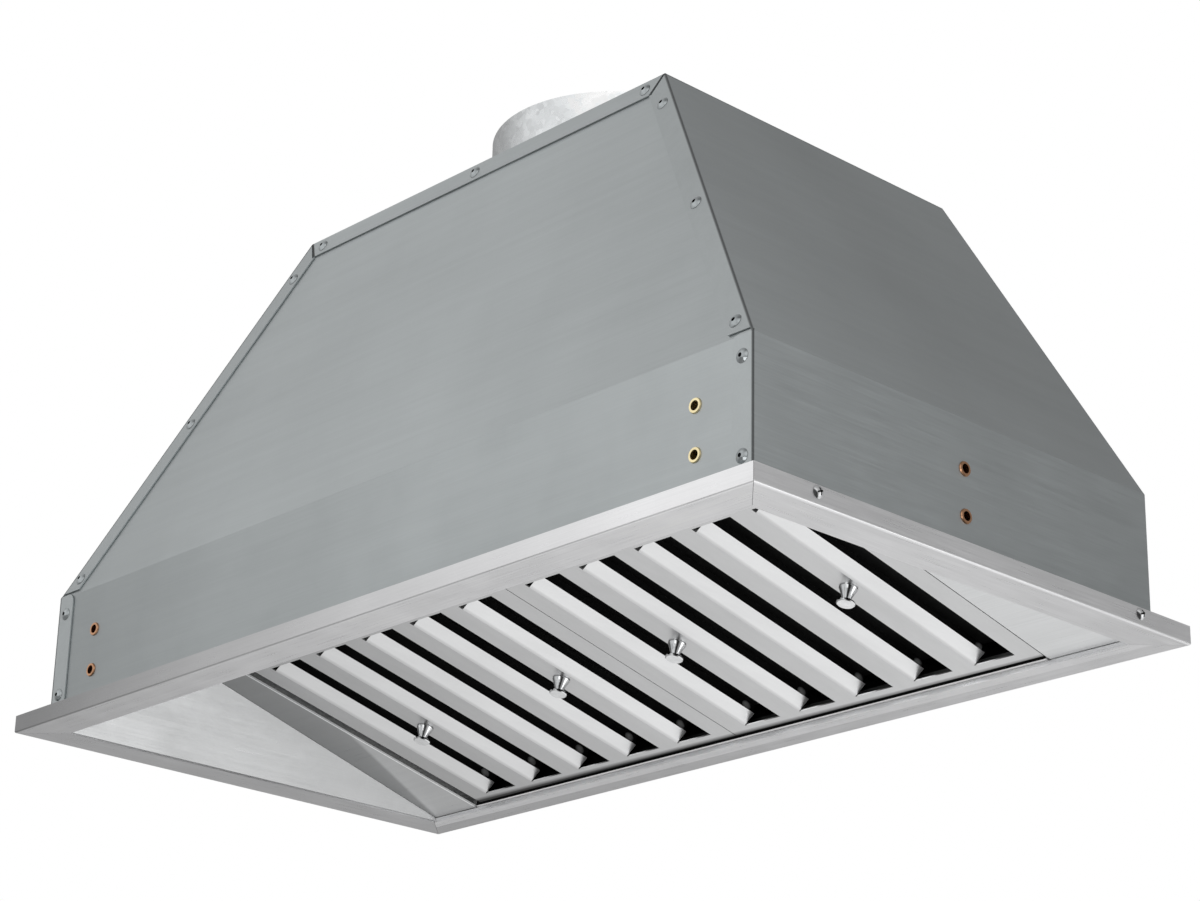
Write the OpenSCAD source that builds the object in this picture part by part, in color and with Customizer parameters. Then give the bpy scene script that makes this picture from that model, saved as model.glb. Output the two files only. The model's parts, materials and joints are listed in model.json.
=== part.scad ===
// Range hood insert: a sheet-steel shell over a flange frame, with baffle filters, a blower and a duct collar.
// Millimetres. The origin is the middle of the flange's underside, +X is the right end, -Y the front, +Z up.

/* [Flange frame] */
// Length of the flange frame, left to right
flange_len = 711; // [700:1:900]
// Depth of the flange frame, front to rear
flange_depth = 387; // [384:1:440]
// Height of the frame's upturned skirt
skirt_h = 12.3; // [11:0.1:16]
// Width of the frame's flat border
border_w = 27; // [25:0.5:30]
// Sheet thickness of the frame
frame_t = 1.2; // [0.8:0.1:1.5]

/* [Body] */
// Distance from the flange's edge to the body's walls
body_inset = 16.8; // [14:0.1:18]
// Height of the crease between the upright band and the slopes
crease_z = 98.4; // [92:0.1:130]
// Height of the flat top
top_z = 351.7; // [345:0.1:400]
// Length of the flat top, left to right
top_len = 362; // [340:1:560]
// Depth of the flat top, from its front edge to the rear wall
top_depth = 270.2; // [266:0.1:290]
// Sheet thickness of the body
wall_t = 1; // [0.7:0.1:1.2]
// Gap between lapped sheets
lap_gap = 0.15; // [0.1:0.05:0.3]
// Width of the flanges that lap over the front and rear walls
lap_w = 16; // [15:0.5:20]
// Length of the top's front and rear flanges
brow_w = 14.8; // [13:0.1:18]

/* [Filter pan] */
// Slope of the filter pan, down towards the rear, in degrees
pan_tilt = 13.87; // [13:0.01:14.2]
// Height of the pan's underside over the inner edge of the rear rail
pan_rear_z = 3.59; // [3.4:0.01:4]
// Depth from the middle forward to the ridge where the pan meets the control panel
ridge_y = 90; // [88:0.5:100]
// Inward lean of the end panels, in degrees
end_lean = 18.36; // [16:0.1:20]
// Length of the pan's opening, left to right
opening_w = 548; // [540:0.5:556]
// Shift of the opening's middle towards the right end
opening_shift = -6; // [-6:0.5:0]
// Height of the opening's upturned edges
curb_h = 20; // [16:0.5:22]

/* [Filters] */
// Clearance between the left filter and the opening
filter_gap_left = 10.3; // [3:0.1:12]
// Clearance between the right filter and the opening
filter_gap_right = 1.1; // [0.8:0.1:6]
// Gap between the two filters
filter_joint = 0.6; // [0.6:0.1:2]
// Width of the grease channel behind the filters
channel_w = 6.8; // [6:0.1:9]
// Thickness of a filter
filter_h = 22; // [20:0.5:23]
// Sheet thickness of a filter
filter_t = 0.9; // [0.7:0.1:1.2]
// Slots across each filter
slot_count = 5; // [3:1:6]
// Width of a slot
slot_w = 32.7; // [28:0.1:34]
// Width of the flat outside the end slots
slot_margin = 16.25; // [14:0.25:18]
// Solid strip in front of the slots
slot_front = 14.4; // [12:0.1:20]
// Solid strip behind the slots
slot_rear = 8.7; // [7:0.1:14]
// Run and rise of the lip along each slot
lip_run = 7.5; // [5:0.1:9]
// Diameter of the rod that the filters swing on
rod_d = 4; // [3:0.5:5]

/* [Pull knobs] */
// Height of a knob
knob_h = 11.8; // [10:0.1:18]
// Diameter of a knob's foot
knob_foot_d = 12; // [9:0.1:13]
// Diameter of a knob's waist
knob_waist_d = 5; // [4.6:0.1:8]
// Diameter of a knob's head
knob_head_d = 12; // [10:0.1:13]

/* [Duct] */
// Outer diameter of the duct collar
duct_d = 178; // [150:1:180]
// Height of the collar above the top
collar_h = 57.8; // [50:0.1:70]
// Sheet thickness of the collar
collar_t = 0.7; // [0.5:0.1:1]
// Distance of the collar's middle behind the hood's middle
duct_y = 36; // [34:0.5:46]
// Diameter of the damper's pin
damper_pin_d = 4; // [3:0.5:5]

/* [Blower] */
// Outer diameter of the impeller
wheel_d = 140; // [120:1:144]
// Width of the impeller
wheel_w = 136; // [110:1:140]
// Blades round the impeller
blade_count = 40; // [24:1:44]
// Diameter of the motor
motor_d = 84; // [70:1:90]
// Length of the motor
motor_len = 66; // [50:1:68]
// Diameter of the motor's shaft
shaft_d = 8; // [6:0.5:10]
// Height of the blower's axis
axis_z = 205; // [200:1:220]
// Clearance from the impeller to the scroll's tongue
tongue_gap = 8; // [5:0.5:10]
// Growth of the scroll from its tongue to its outlet
scroll_growth = 30; // [24:0.5:36]
// Sheet thickness of the blower
blower_t = 1; // [0.8:0.1:1.2]

/* [Lamps and buttons] */
// Diameter of a lamp's trim ring
lamp_d = 64; // [56:1:68]
// Distance of each lamp from the middle of the hood
lamp_x = 185; // [150:1:210]
// Push buttons on the control panel
button_count = 4; // [4:1:4]
// Width of a push button
button_w = 13; // [10:0.5:15]
// Height of a push button's face
button_h = 10; // [8:0.5:12]
// Travel of a push button
button_travel = 3; // [2:0.5:3]
// Distance from one push button to the next
button_pitch = 22; // [19:0.5:26]

/* [Fasteners] */
// Head diameter of the blind rivets
rivet_head_d = 9.2; // [7:0.1:10]
// Shank diameter of the blind rivets
rivet_d = 3.2; // [2.4:0.1:4]
// Flange diameter of the threaded inserts
insert_flange_d = 9.5; // [9.2:0.1:12]
// Bore diameter of the threaded inserts
insert_bore_d = 6; // [5:0.1:6.4]
// Length of the threaded inserts
insert_len = 13; // [10:0.5:16]
// Shank diameter of the screws
screw_d = 4; // [3:0.5:4.5]
// Head diameter of the screws
screw_head_d = 8; // [7:0.1:8.6]

/* [Hidden] */
$fn = 48;

// Overrun of cuts
over = 1;
// Pieces of an arc in an outline
arc_steps = 5;
// Clearance between pieces that move apart
move_gap = 0.3;
// Radial clearance of shafts in their bores
run_gap = 0.05;

steel = [0.66, 0.68, 0.68];
bright = [0.8, 0.81, 0.81];
zinc = [0.74, 0.76, 0.78];
brass = [0.8, 0.62, 0.3];
dark = [0.16, 0.17, 0.18];

half_x = flange_len / 2;
half_y = flange_depth / 2;
body_x = half_x - body_inset;
body_y = half_y - body_inset;
top_x = top_len / 2;
top_front = body_y - top_depth;
slope_h = top_z - crease_z;
front_lean = atan((top_front + body_y) / slope_h);
side_lean = atan((body_x - top_x) / slope_h);
slope_len = slope_h / cos(front_lean);
// Depths of the lapped layers below the outer surface
layer = wall_t + lap_gap;
layer_in = layer + wall_t;
// Top of the ledge on which the body stands in the frame
foot_z = skirt_h - move_gap;
// Lower end of the lip behind the skirt
lip_rise = 1.4;
lip_z = frame_t + lip_rise;
lip_reach = frame_t + lap_gap;

// Height at which an upright and a leaning face, both moved in by d, meet
function bend_z(lean, d) = crease_z - d * tan(lean / 2);
// Distance of such a face from the middle at height z
function face_at(half, lean, d, z) =
    half - d - max(0, z - bend_z(lean, d)) * tan(lean);
// Points of such a face from height z0 up to height z1
function face_pts(half, lean, d, z0, z1) =
    [[face_at(half, lean, d, z0), z0], [face_at(half, lean, d, bend_z(lean, d)), bend_z(lean, d)],
     [face_at(half, lean, d, z1), z1]];
function flip(pts) = [for (i = [len(pts) - 1:-1:0]) pts[i]];
function mirror_pts(pts) = [for (p = flip(pts)) [-p.x, p.y]];
function arc_pts(c, r, a0, a1) =
    [for (i = [0:arc_steps]) let(a = a0 + (a1 - a0) * i / arc_steps) c + r * [cos(a), sin(a)]];

// Outline between the two sides, moved in by d, seen from the front
function between_sides(d, z0, z1) =
    concat(face_pts(body_x, side_lean, d, z0, z1), mirror_pts(face_pts(body_x, side_lean, d, z0, z1)));
// Outline between front and rear, moved in by d, seen from the right end
function between_ends(d, z0, z1) =
    concat([[body_y - d, z0], [body_y - d, z1]], mirror_pts(face_pts(body_y, front_lean, d, z0, z1)));

module along_x(x0, x1) {
    translate([x0, 0, 0]) rotate([90, 0, 90]) linear_extrude(x1 - x0) children();
}
module along_y(y0, y1) {
    translate([0, y1, 0]) rotate([90, 0, 0]) linear_extrude(y1 - y0) children();
}
module both_ends() {
    children();
    mirror([1, 0, 0]) children();
}
// Places on the outer surfaces, with local +Z pointing out
module on_band(x, z) translate([x, -body_y, z]) rotate([90, 0, 0]) children();
module on_slope(x, s) {
    translate([x, -body_y + s * sin(front_lean), crease_z + s * cos(front_lean)])
        rotate([90 - front_lean, 0, 0]) children();
}
module on_rear(x, z) translate([x, body_y, z]) rotate([-90, 0, 0]) children();
module on_top(x, y) translate([x, y, top_z]) children();
module on_right(y, z) translate([body_x, y, z]) rotate([0, 90, 0]) children();

// Sheet leaning face with its foot, in distance from the middle and height
foot_stub = wall_t;
function foot_pts(d, half, reach) =
    [[reach, lip_z], [reach, foot_z], [half - d, foot_z], [half - d, foot_z + foot_stub],
     [half - d - wall_t, foot_z + foot_stub], [half - d - wall_t, foot_z - wall_t],
     [reach - wall_t, foot_z - wall_t], [reach - wall_t, lip_z]];
function sheet_pts(half, lean, d, z0, z1) =
    concat(face_pts(half, lean, d, z0, z1), flip(face_pts(half, lean, d + wall_t, z0, z1)));
// Plan of a frame side from the middle to its mitres, as distance out and length along
module mitre_plan(inner, outer, half, along) {
    polygon([[-(along - half + inner), inner], [along - half + inner, inner],
        [along - half + outer, outer], [-(along - half + outer), outer]]);
}

// Rivets: along the front band, up the front slope, across the brow, and the same at the rear
rivet_in = 8.2;
slope_rivet_in = 8.6;
band_rivets = [26.3, 85.4];
slope_rivet_shares = [0.047, 0.479, 0.889];
brow_rivet_in = 16;
brow_rivet_x = top_x - brow_rivet_in;
brow_rivet_drop = 7.4;
rear_rivet_shares = [0.03, 0.35, 0.66, 0.93];
top_rivet_in = 9;
top_rivet_y = top_depth / 3;
rivet_h = 2;
rivet_hole_d = 2.6;
rivet_bulb_d = 5;
rivet_bulb_h = 3;
rivet_clear = 0.1;
slope_edge = cos(atan((body_x - top_x) / slope_len));
function slope_x(s) = body_x - (body_x - top_x) * s / slope_len;

module front_rivet_places() {
    for (side = [-1, 1]) {
        for (z = band_rivets) on_band(side * (body_x - rivet_in), z) children();
        for (share = slope_rivet_shares)
            on_slope(side * (slope_x(share * slope_len) - slope_rivet_in / slope_edge), share * slope_len)
                children();
    }
}
module brow_rivet_places() {
    for (side = [-1, 0, 1]) on_slope(side * brow_rivet_x, slope_len - brow_rivet_drop) children();
}
module rear_rivet_places() {
    for (side = [-1, 1]) {
        for (z = band_rivets) on_rear(side * (body_x - rivet_in), z) children();
        for (share = rear_rivet_shares)
            let(z = crease_z + share * slope_h)
                on_rear(side * (face_at(body_x, side_lean, 0, z) - rivet_in / cos(side_lean)), z) children();
    }
}
module rear_brow_rivet_places() {
    for (side = [-1, 0, 1]) on_rear(side * brow_rivet_x, top_z - brow_rivet_drop) children();
}
module top_rivet_places() {
    for (side = [-1, 1], row = [-1, 0, 1])
        on_top(side * (top_x - top_rivet_in), (top_front + body_y) / 2 + row * top_rivet_y) children();
}
module rivet_hole() {
    translate([0, 0, -insert_len]) cylinder(d = rivet_d + 2 * rivet_clear, h = 2 * insert_len);
}
module rivet() {
    dome_r = (pow(rivet_head_d / 2, 2) + pow(rivet_h, 2)) / (2 * rivet_h);
    grip = layer_in + lap_gap;
    difference() {
        union() {
            intersection() {
                translate([0, 0, rivet_h - dome_r]) sphere(dome_r);
                translate([0, 0, lap_gap]) cylinder(d = rivet_head_d + over, h = rivet_h);
            }
            translate([0, 0, -grip]) cylinder(d = rivet_d, h = grip + rivet_h / 2);
            translate([0, 0, -grip - rivet_bulb_h]) cylinder(d = rivet_bulb_d, h = rivet_bulb_h);
        }
        translate([0, 0, -wall_t]) cylinder(d = rivet_hole_d, h = wall_t + rivet_h + over);
    }
}

// Threaded inserts in pairs, two on the front band and one on each side
insert_low_z = 37;
insert_high_z = 66.5;
insert_front_in = 45.2;
insert_front_x = body_x - insert_front_in;
insert_side_y = 1.5;
insert_rim = 0.75;
insert_body_d = insert_flange_d - 2 * insert_rim;
insert_flange_h = 0.8;
insert_chamfer = 0.4;
module front_insert_places() {
    for (side = [-1, 1], z = [insert_low_z, insert_high_z])
        translate([side * insert_front_x, -body_y + layer, z]) rotate([90, 0, 0]) children();
}
module side_insert_places() {
    for (side = [0, 1], z = [insert_low_z, insert_high_z])
        mirror([side, 0, 0]) on_right(insert_side_y, z) children();
}
module insert_hole() {
    translate([0, 0, -insert_len]) cylinder(d = insert_body_d + 2 * rivet_clear, h = 2 * insert_len);
}

module front_panel() color(steel) difference() {
    union() {
        intersection() {
            along_x(-half_x, half_x)
                polygon(mirror_pts(sheet_pts(body_y, front_lean, layer, foot_z, top_z - layer)));
            along_y(-half_y, 0) polygon(between_sides(layer, 0, top_z));
        }
        intersection() {
            along_x(-half_x, half_x) polygon(mirror_pts(foot_pts(layer, body_y, half_y - lip_reach)));
            mirror([0, 1, 0]) linear_extrude(crease_z)
                mitre_plan(body_y - layer_in, half_y, half_y, half_x - lap_gap);
        }
    }
    front_rivet_places() rivet_hole();
    brow_rivet_places() rivet_hole();
    front_insert_places() insert_hole();
}
module back_panel() color(steel) difference() {
    union() {
        translate([0, -layer, 0]) intersection() {
            translate([0, body_y - wall_t, 0]) cube_centred_x(body_x, wall_t, foot_z, top_z - layer);
            along_y(0, half_y) polygon(between_sides(layer, 0, top_z));
        }
        intersection() {
            along_x(-half_x, half_x) polygon(foot_pts(layer, body_y, half_y - lip_reach));
            linear_extrude(crease_z) mitre_plan(body_y - layer_in, half_y, half_y, half_x - lap_gap);
        }
    }
    rear_rivet_places() rivet_hole();
    rear_brow_rivet_places() rivet_hole();
}
module cube_centred_x(half, depth, z0, z1) {
    translate([-half, 0, z0]) cube([2 * half, depth, z1 - z0]);
}

// Outline of the lapping flange of the right side, seen from the front
notch_z = crease_z + 1.2;
notch_h = 1.8;
flange_corner_r = 6;
edge_gap = 0.9;
brow_drop = brow_w * cos(front_lean);
brow_end = 8.2;
brow_end_x = top_x - brow_end;
lap_across = lap_w / slope_edge;
function side_edge_x(z) = face_at(body_x, side_lean, 0, z);
module low_lap_outline() {
    polygon(concat([[body_x, foot_z + lap_gap], [body_x, notch_z]],
        arc_pts([body_x - lap_w + flange_corner_r, notch_z - flange_corner_r], flange_corner_r, 90, 180),
        [[body_x - lap_w, foot_z + lap_gap]]));
}
module high_lap_outline() {
    z0 = notch_z + notch_h;
    z1 = top_z - brow_drop - edge_gap;
    z2 = top_z - layer;
    polygon([[side_edge_x(z0) - lap_across, z0], [side_edge_x(z0), z0], [side_edge_x(z2), z2],
        [brow_end_x + edge_gap + (brow_end - edge_gap) * (z2 - z1) / brow_drop, z2],
        [brow_end_x + edge_gap, z1], [side_edge_x(z1) - lap_across, z1]]);
}
module rear_lap_outline() {
    z1 = top_z - brow_w - edge_gap;
    polygon([[body_x - lap_w, foot_z + lap_gap], [body_x, foot_z + lap_gap], [body_x, crease_z],
        [side_edge_x(z1), z1], [side_edge_x(z1) - lap_w / cos(side_lean), z1],
        [body_x - lap_w, crease_z - lap_w * tan(side_lean / 2)]]);
}
module right_side_shape() difference() {
    union() {
        intersection() {
            along_y(-half_y, half_y) polygon(sheet_pts(body_x, side_lean, 0, foot_z, top_z - layer));
            along_x(0, half_x) polygon(between_ends(0, 0, top_z));
        }
        intersection() {
            along_y(-half_y, half_y) polygon(foot_pts(0, body_x, half_x - lip_reach));
            linear_extrude(crease_z) rotate(-90)
                mitre_plan(body_x - wall_t, half_x, half_x, half_y - lap_gap);
        }
        // Flanges over the front wall and the rear wall
        intersection() {
            along_x(0, half_x)
                polygon(mirror_pts(sheet_pts(body_y, front_lean, 0, foot_z, top_z)));
            along_y(-half_y, 0) {
                low_lap_outline();
                high_lap_outline();
            }
        }
        along_y(body_y - wall_t, body_y) rear_lap_outline();
        // Flange under the top
        intersection() {
            translate([side_edge_x(top_z) - lap_w, -half_y, top_z - layer_in])
                cube([2 * lap_w, flange_depth, wall_t]);
            along_x(0, half_x) polygon(between_ends(layer_in + lap_gap, 0, top_z));
            along_y(-half_y, half_y) polygon(between_sides(0, 0, top_z));
        }
    }
    front_rivet_places() rivet_hole();
    rear_rivet_places() rivet_hole();
    top_rivet_places() rivet_hole();
    side_insert_places() insert_hole();
    screw_places() screw_hole();
}
module right_side_panel() color(steel) right_side_shape();
module left_side_panel() color(steel) mirror([1, 0, 0]) right_side_shape();

module brow_outline() {
    polygon([[-brow_end_x, top_z - brow_drop], [brow_end_x, top_z - brow_drop],
        [brow_end_x + brow_end, top_z], [-brow_end_x - brow_end, top_z]]);
}
module top_panel() color(steel) difference() {
    union() {
        intersection() {
            translate([0, -half_y, 0]) cube_centred_x(body_x, flange_depth, top_z - wall_t, top_z);
            along_y(-half_y, half_y) polygon(between_sides(0, 0, top_z));
            along_x(-half_x, half_x) polygon(between_ends(0, 0, top_z));
        }
        intersection() {
            along_x(-half_x, half_x) polygon(mirror_pts(sheet_pts(body_y, front_lean, 0, foot_z, top_z)));
            along_y(-half_y, 0) brow_outline();
        }
        along_y(body_y - wall_t, body_y) polygon([[-brow_end_x, top_z - brow_w], [brow_end_x, top_z - brow_w],
            [brow_end_x, top_z], [-brow_end_x, top_z]]);
    }
    brow_rivet_places() rivet_hole();
    rear_brow_rivet_places() rivet_hole();
    top_rivet_places() rivet_hole();
    collar_rivet_places() rivet_hole();
    outlet_screw_places() screw_hole();
    box_screw_places() screw_hole();
    on_top(0, duct_y) translate([0, 0, -skirt_h]) cylinder(d = duct_d, h = 2 * skirt_h, $fn = 96);
    on_top(gland_x, gland_y) translate([0, 0, -skirt_h])
        cylinder(d = gland_thread_d + 2 * lap_gap, h = 2 * skirt_h);
}
module panel_rivets() color(steel) {
    front_rivet_places() rivet();
    brow_rivet_places() rivet();
    rear_rivet_places() rivet();
    rear_brow_rivet_places() rivet();
    top_rivet_places() rivet();
}
module insert() {
    difference() {
        union() {
            translate([0, 0, lap_gap])
                cylinder(d1 = insert_flange_d, d2 = insert_flange_d - 2 * insert_chamfer, h = insert_flange_h);
            translate([0, 0, insert_flange_h - insert_len])
                cylinder(d = insert_body_d, h = insert_len - insert_flange_h / 2);
        }
        translate([0, 0, -insert_len]) cylinder(d = insert_bore_d, h = 2 * insert_len);
    }
}
module threaded_inserts() color(brass) {
    front_insert_places() insert();
    side_insert_places() insert();
}

// Frame: four mitred rails of angle section, screwed to the lips of the side panels
frame_bend_r = 1.2;
screw_z = 8;
screw_share = 0.74;
screw_y = half_y * screw_share;
screw_head_h = 2.4;
screw_len = 9;
screw_clear = 0.1;
cross_w = 1;
cross_l = 4.4;
cross_depth = 1.3;
module rail_section() {
    polygon(concat([[frame_t, frame_t], [frame_t, skirt_h], [0, skirt_h]],
        arc_pts([frame_bend_r, frame_bend_r], frame_bend_r, 180, 270), [[border_w, 0], [border_w, frame_t]]));
}
// Rail on the front edge: the section runs along X, its zero at the frame's edge
module rail(half, along) intersection() {
    translate([0, -half, 0]) along_x(-along, along) rail_section();
    linear_extrude(skirt_h) mirror([0, 1, 0])
        mitre_plan(half - border_w - over, half, half, along - lap_gap);
}
module front_rail() color(bright) rail(half_y, half_x);
// The rear rail's inner edge turns up to close the slit under the pan
module back_rail() color(bright) {
    rotate(180) rail(half_y, half_x);
    translate([0, inner_y, 0]) cube_centred_x(end_x(0) - lap_gap, frame_t, 0, hem_top);
}
module end_rail_shape() difference() {
    rotate(90) rail(half_x, half_y);
    screw_places() screw_hole();
}
module right_rail() color(bright) end_rail_shape();
module left_rail() color(bright) mirror([1, 0, 0]) end_rail_shape();
module screw_places() {
    for (end = [-1, 1]) translate([half_x, end * screw_y, screw_z]) rotate([0, 90, 0]) children();
}
module screw_hole() {
    translate([0, 0, -screw_len]) cylinder(d = screw_d + 2 * screw_clear, h = 2 * screw_len);
}
// Pan-head screw with a cross recess, its head on local zero
module screw(length) difference() {
    dome_r = (pow(screw_head_d / 2, 2) + pow(screw_head_h, 2)) / (2 * screw_head_h);
    union() {
        intersection() {
            translate([0, 0, screw_head_h - dome_r]) sphere(dome_r);
            translate([0, 0, lap_gap]) cylinder(d = screw_head_d - 2 * screw_clear, h = screw_head_h);
        }
        translate([0, 0, -length]) cylinder(d = screw_d, h = length + screw_head_h / 2);
    }
    for (a = [0, 90]) rotate(a) translate([-cross_l / 2, -cross_w / 2, screw_head_h - cross_depth])
        cube([cross_l, cross_w, screw_head_h]);
}
module frame_screws() color(zinc) both_ends() screw_places() rotate(20) screw(screw_len);

// Recess under the frame: a tilted filter pan, two leaning end panels and a sloping control panel
module in_pan() translate([0, 0, pan_z]) rotate([-pan_tilt, 0, 0]) children();
inner_x = half_x - border_w;
inner_y = half_y - border_w;
pan_z = pan_rear_z + inner_y * tan(pan_tilt);
ridge_z = pan_z + ridge_y * tan(pan_tilt);
ridge_v = -ridge_y / cos(pan_tilt);
control_lean = atan(ridge_z / (inner_y - ridge_y));
control_len = ridge_z / sin(control_lean);
shelf_z = frame_t + lap_gap;
shelf_share = 0.6;
shelf_w = border_w * shelf_share;
pan_lap = 5;
pan_lip = 12;
ridge_strip = 13.5;
filter_front_gap = 11.2;
open_front = ridge_v + ridge_strip;
filter_front = open_front + filter_front_gap;
rear_curb_h = 6;
open_end = (body_y - layer_in - 2 * move_gap - rear_curb_h * sin(pan_tilt)) / cos(pan_tilt) - wall_t;
// Top of the rear rail's upturned edge
hem_top = pan_z - (inner_y + frame_t) * tan(pan_tilt) - lap_gap;
groove_w = 3.3;
channel_end = open_end - move_gap;
channel_v = channel_end - channel_w;
filter_len = channel_v - groove_w - filter_front;
open_left = opening_shift - opening_w / 2;
open_right = opening_shift + opening_w / 2;
rod_back = 4.6;
rod_v = filter_front - rod_back;
rod_up = 6;
rod_tail = 2;

function end_x(z) = inner_x - z * tan(end_lean);
// Point where a line through p at angle a meets one through q at angle b
function meet(p, a, q, b) =
    let(d = q - p, t = (d.x * sin(b) - d.y * cos(b)) / (cos(a) * sin(b) - sin(a) * cos(b)))
        p + t * [cos(a), sin(a)];
// Points on the control panel and on the pan, moved up by d, as depth and height
function control_pt(d) = [-inner_y - d * sin(control_lean), d * cos(control_lean)];
function pan_pt(d) = [d * sin(pan_tilt), pan_z + d * cos(pan_tilt)];
function ridge_pt(pan_d, control_d) = meet(pan_pt(pan_d), -pan_tilt, control_pt(control_d), control_lean);
control_dir = [cos(control_lean), sin(control_lean)];

module filter_pan() color(bright) difference() {
    union() {
        in_pan() difference() {
            union() {
                linear_extrude(wall_t) polygon([[end_x(0) + pan_lap, open_end + wall_t],
                    [-end_x(0) - pan_lap, open_end + wall_t], [-end_x(ridge_z) - pan_lap, ridge_v],
                    [end_x(ridge_z) + pan_lap, ridge_v]]);
                translate([open_left - wall_t, open_front - wall_t, 0])
                    cube([opening_w + 2 * wall_t, open_end - open_front, curb_h]);
                translate([open_left - wall_t, open_front, 0])
                    cube([opening_w + 2 * wall_t, open_end - open_front + wall_t, rear_curb_h]);
            }
            translate([open_left, open_front, -over])
                cube([opening_w, open_end - open_front, curb_h + 2 * over]);
            translate([open_left - over - wall_t, open_end - curb_h, rear_curb_h])
                cube([opening_w + 2 * over + 2 * wall_t, 2 * curb_h, curb_h]);
        }
        along_x(-end_x(ridge_z), end_x(ridge_z)) polygon([ridge_pt(0, layer),
            ridge_pt(0, layer) - pan_lip * control_dir, ridge_pt(0, layer_in) - pan_lip * control_dir,
            ridge_pt(wall_t, layer_in),
            ridge_pt(wall_t, layer_in) + [pan_lip, -pan_lip * tan(pan_tilt)],
            ridge_pt(0, layer) + [pan_lip, -pan_lip * tan(pan_tilt)]]);
    }
    in_pan() translate([-half_x, rod_v, rod_up]) rotate([0, 90, 0])
        cylinder(d = rod_d + 2 * screw_clear, h = flange_len);
}
module right_end_shape() intersection() {
    along_y(-inner_y + lap_gap, inner_y - lap_gap) polygon([[end_x(shelf_z), shelf_z],
        [inner_x + shelf_w, shelf_z], [inner_x + shelf_w, shelf_z + wall_t],
        [end_x(shelf_z + wall_t) + wall_t / cos(end_lean), shelf_z + wall_t],
        [end_x(ridge_z) + wall_t / cos(end_lean), ridge_z], [end_x(ridge_z), ridge_z]]);
    along_x(0, half_x) polygon([control_pt(-lap_gap), ridge_pt(-lap_gap, -lap_gap),
        meet(pan_pt(-lap_gap), -pan_tilt, [0, 0], 0)]);
}
module right_end_panel() color(bright) right_end_shape();
module left_end_panel() color(bright) mirror([1, 0, 0]) right_end_shape();

// Places on the control panel, with local +Z pointing into the recess
module on_control(x, share) {
    translate([x, -inner_y + share * control_len * control_dir.x, share * control_len * control_dir.y])
        rotate([180 + control_lean, 0, 0]) children();
}
lamp_share = 0.52;
can_in = 5;
lens_in = 7;
can_d = lamp_d - 2 * can_in;
lens_d = lamp_d - 2 * lens_in;
can_h = 22;
can_t = 1.2;
ring_h = 2.4;
ring_edge = 0.8;
lens_h = 2.7;
lens_crown = 1;
plate_edge = 5;
plate_w = (button_count - 1) * button_pitch + button_w + 2 * plate_edge;
plate_h = button_h + 2 * plate_edge;
plate_t = 1.5;
block_edge = 3;
block_w = plate_w - 2 * block_edge;
block_h = plate_h - 2 * block_edge;
block_depth = 15;
button_deep = 6;
button_proud = 3.4;
module lamp_places() for (side = [-1, 1]) on_control(side * lamp_x, lamp_share) children();
module control_panel() color(bright) difference() {
    intersection() {
        along_x(-half_x, half_x) {
            foot = meet(control_pt(0), control_lean, [0, shelf_z], 0);
            knee = meet(control_pt(wall_t), control_lean, [0, shelf_z + wall_t], 0);
            polygon([foot, ridge_pt(-lap_gap, 0), ridge_pt(-lap_gap, wall_t), knee,
                [-inner_y - shelf_w, shelf_z + wall_t], [-inner_y - shelf_w, shelf_z]]);
        }
        along_y(-half_y, 0) polygon([[-end_x(0) + lap_gap, 0], [end_x(0) - lap_gap, 0],
            [end_x(ridge_z) - lap_gap, ridge_z], [-end_x(ridge_z) + lap_gap, ridge_z]]);
    }
    lamp_places() translate([0, 0, -can_h]) cylinder(d = can_d + 2 * move_gap, h = 2 * can_h);
    on_control(0, lamp_share) translate([0, 0, -over - wall_t])
        centred_box(block_w + 2 * lap_gap, block_h + 2 * lap_gap, wall_t + 2 * over);
}
module centred_box(w, d, h) translate([-w / 2, -d / 2, 0]) cube([w, d, h]);
module lamp_ring() translate([0, 0, lap_gap]) rotate_extrude($fn = 72) polygon([[lens_d / 2 + lap_gap, 0],
    [lamp_d / 2 - ring_edge, 0], [lamp_d / 2, ring_edge], [lamp_d / 2 - ring_edge, ring_h - ring_edge],
    [can_d / 2, ring_h], [lens_d / 2 + lap_gap, ring_h - ring_edge]]);
module lamp_lens() rotate_extrude($fn = 72) polygon([[0, lap_gap + ring_h - ring_edge - lens_h],
    [lens_d / 2, lap_gap + ring_h - ring_edge - lens_h], [lens_d / 2, ring_h - 2 * ring_edge],
    [lens_d / 4, ring_h - ring_edge + lens_crown / 2], [0, ring_h - ring_edge + lens_crown]]);
module lamp_can() rotate_extrude($fn = 72) polygon([[0, -can_h], [can_d / 2 - can_t, -can_h],
    [can_d / 2, can_t - can_h], [can_d / 2, 0], [can_d / 2 - can_t, 0], [can_d / 2 - can_t, can_t - can_h],
    [0, can_t - can_h]]);
module left_lamp_ring() color(zinc) on_control(-lamp_x, lamp_share) lamp_ring();
module right_lamp_ring() color(zinc) on_control(lamp_x, lamp_share) lamp_ring();
module left_lamp_lens() color("ivory") on_control(-lamp_x, lamp_share) lamp_lens();
module right_lamp_lens() color("ivory") on_control(lamp_x, lamp_share) lamp_lens();
module left_lamp_can() color(zinc) on_control(-lamp_x, lamp_share) lamp_can();
module right_lamp_can() color(zinc) on_control(lamp_x, lamp_share) lamp_can();

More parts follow.
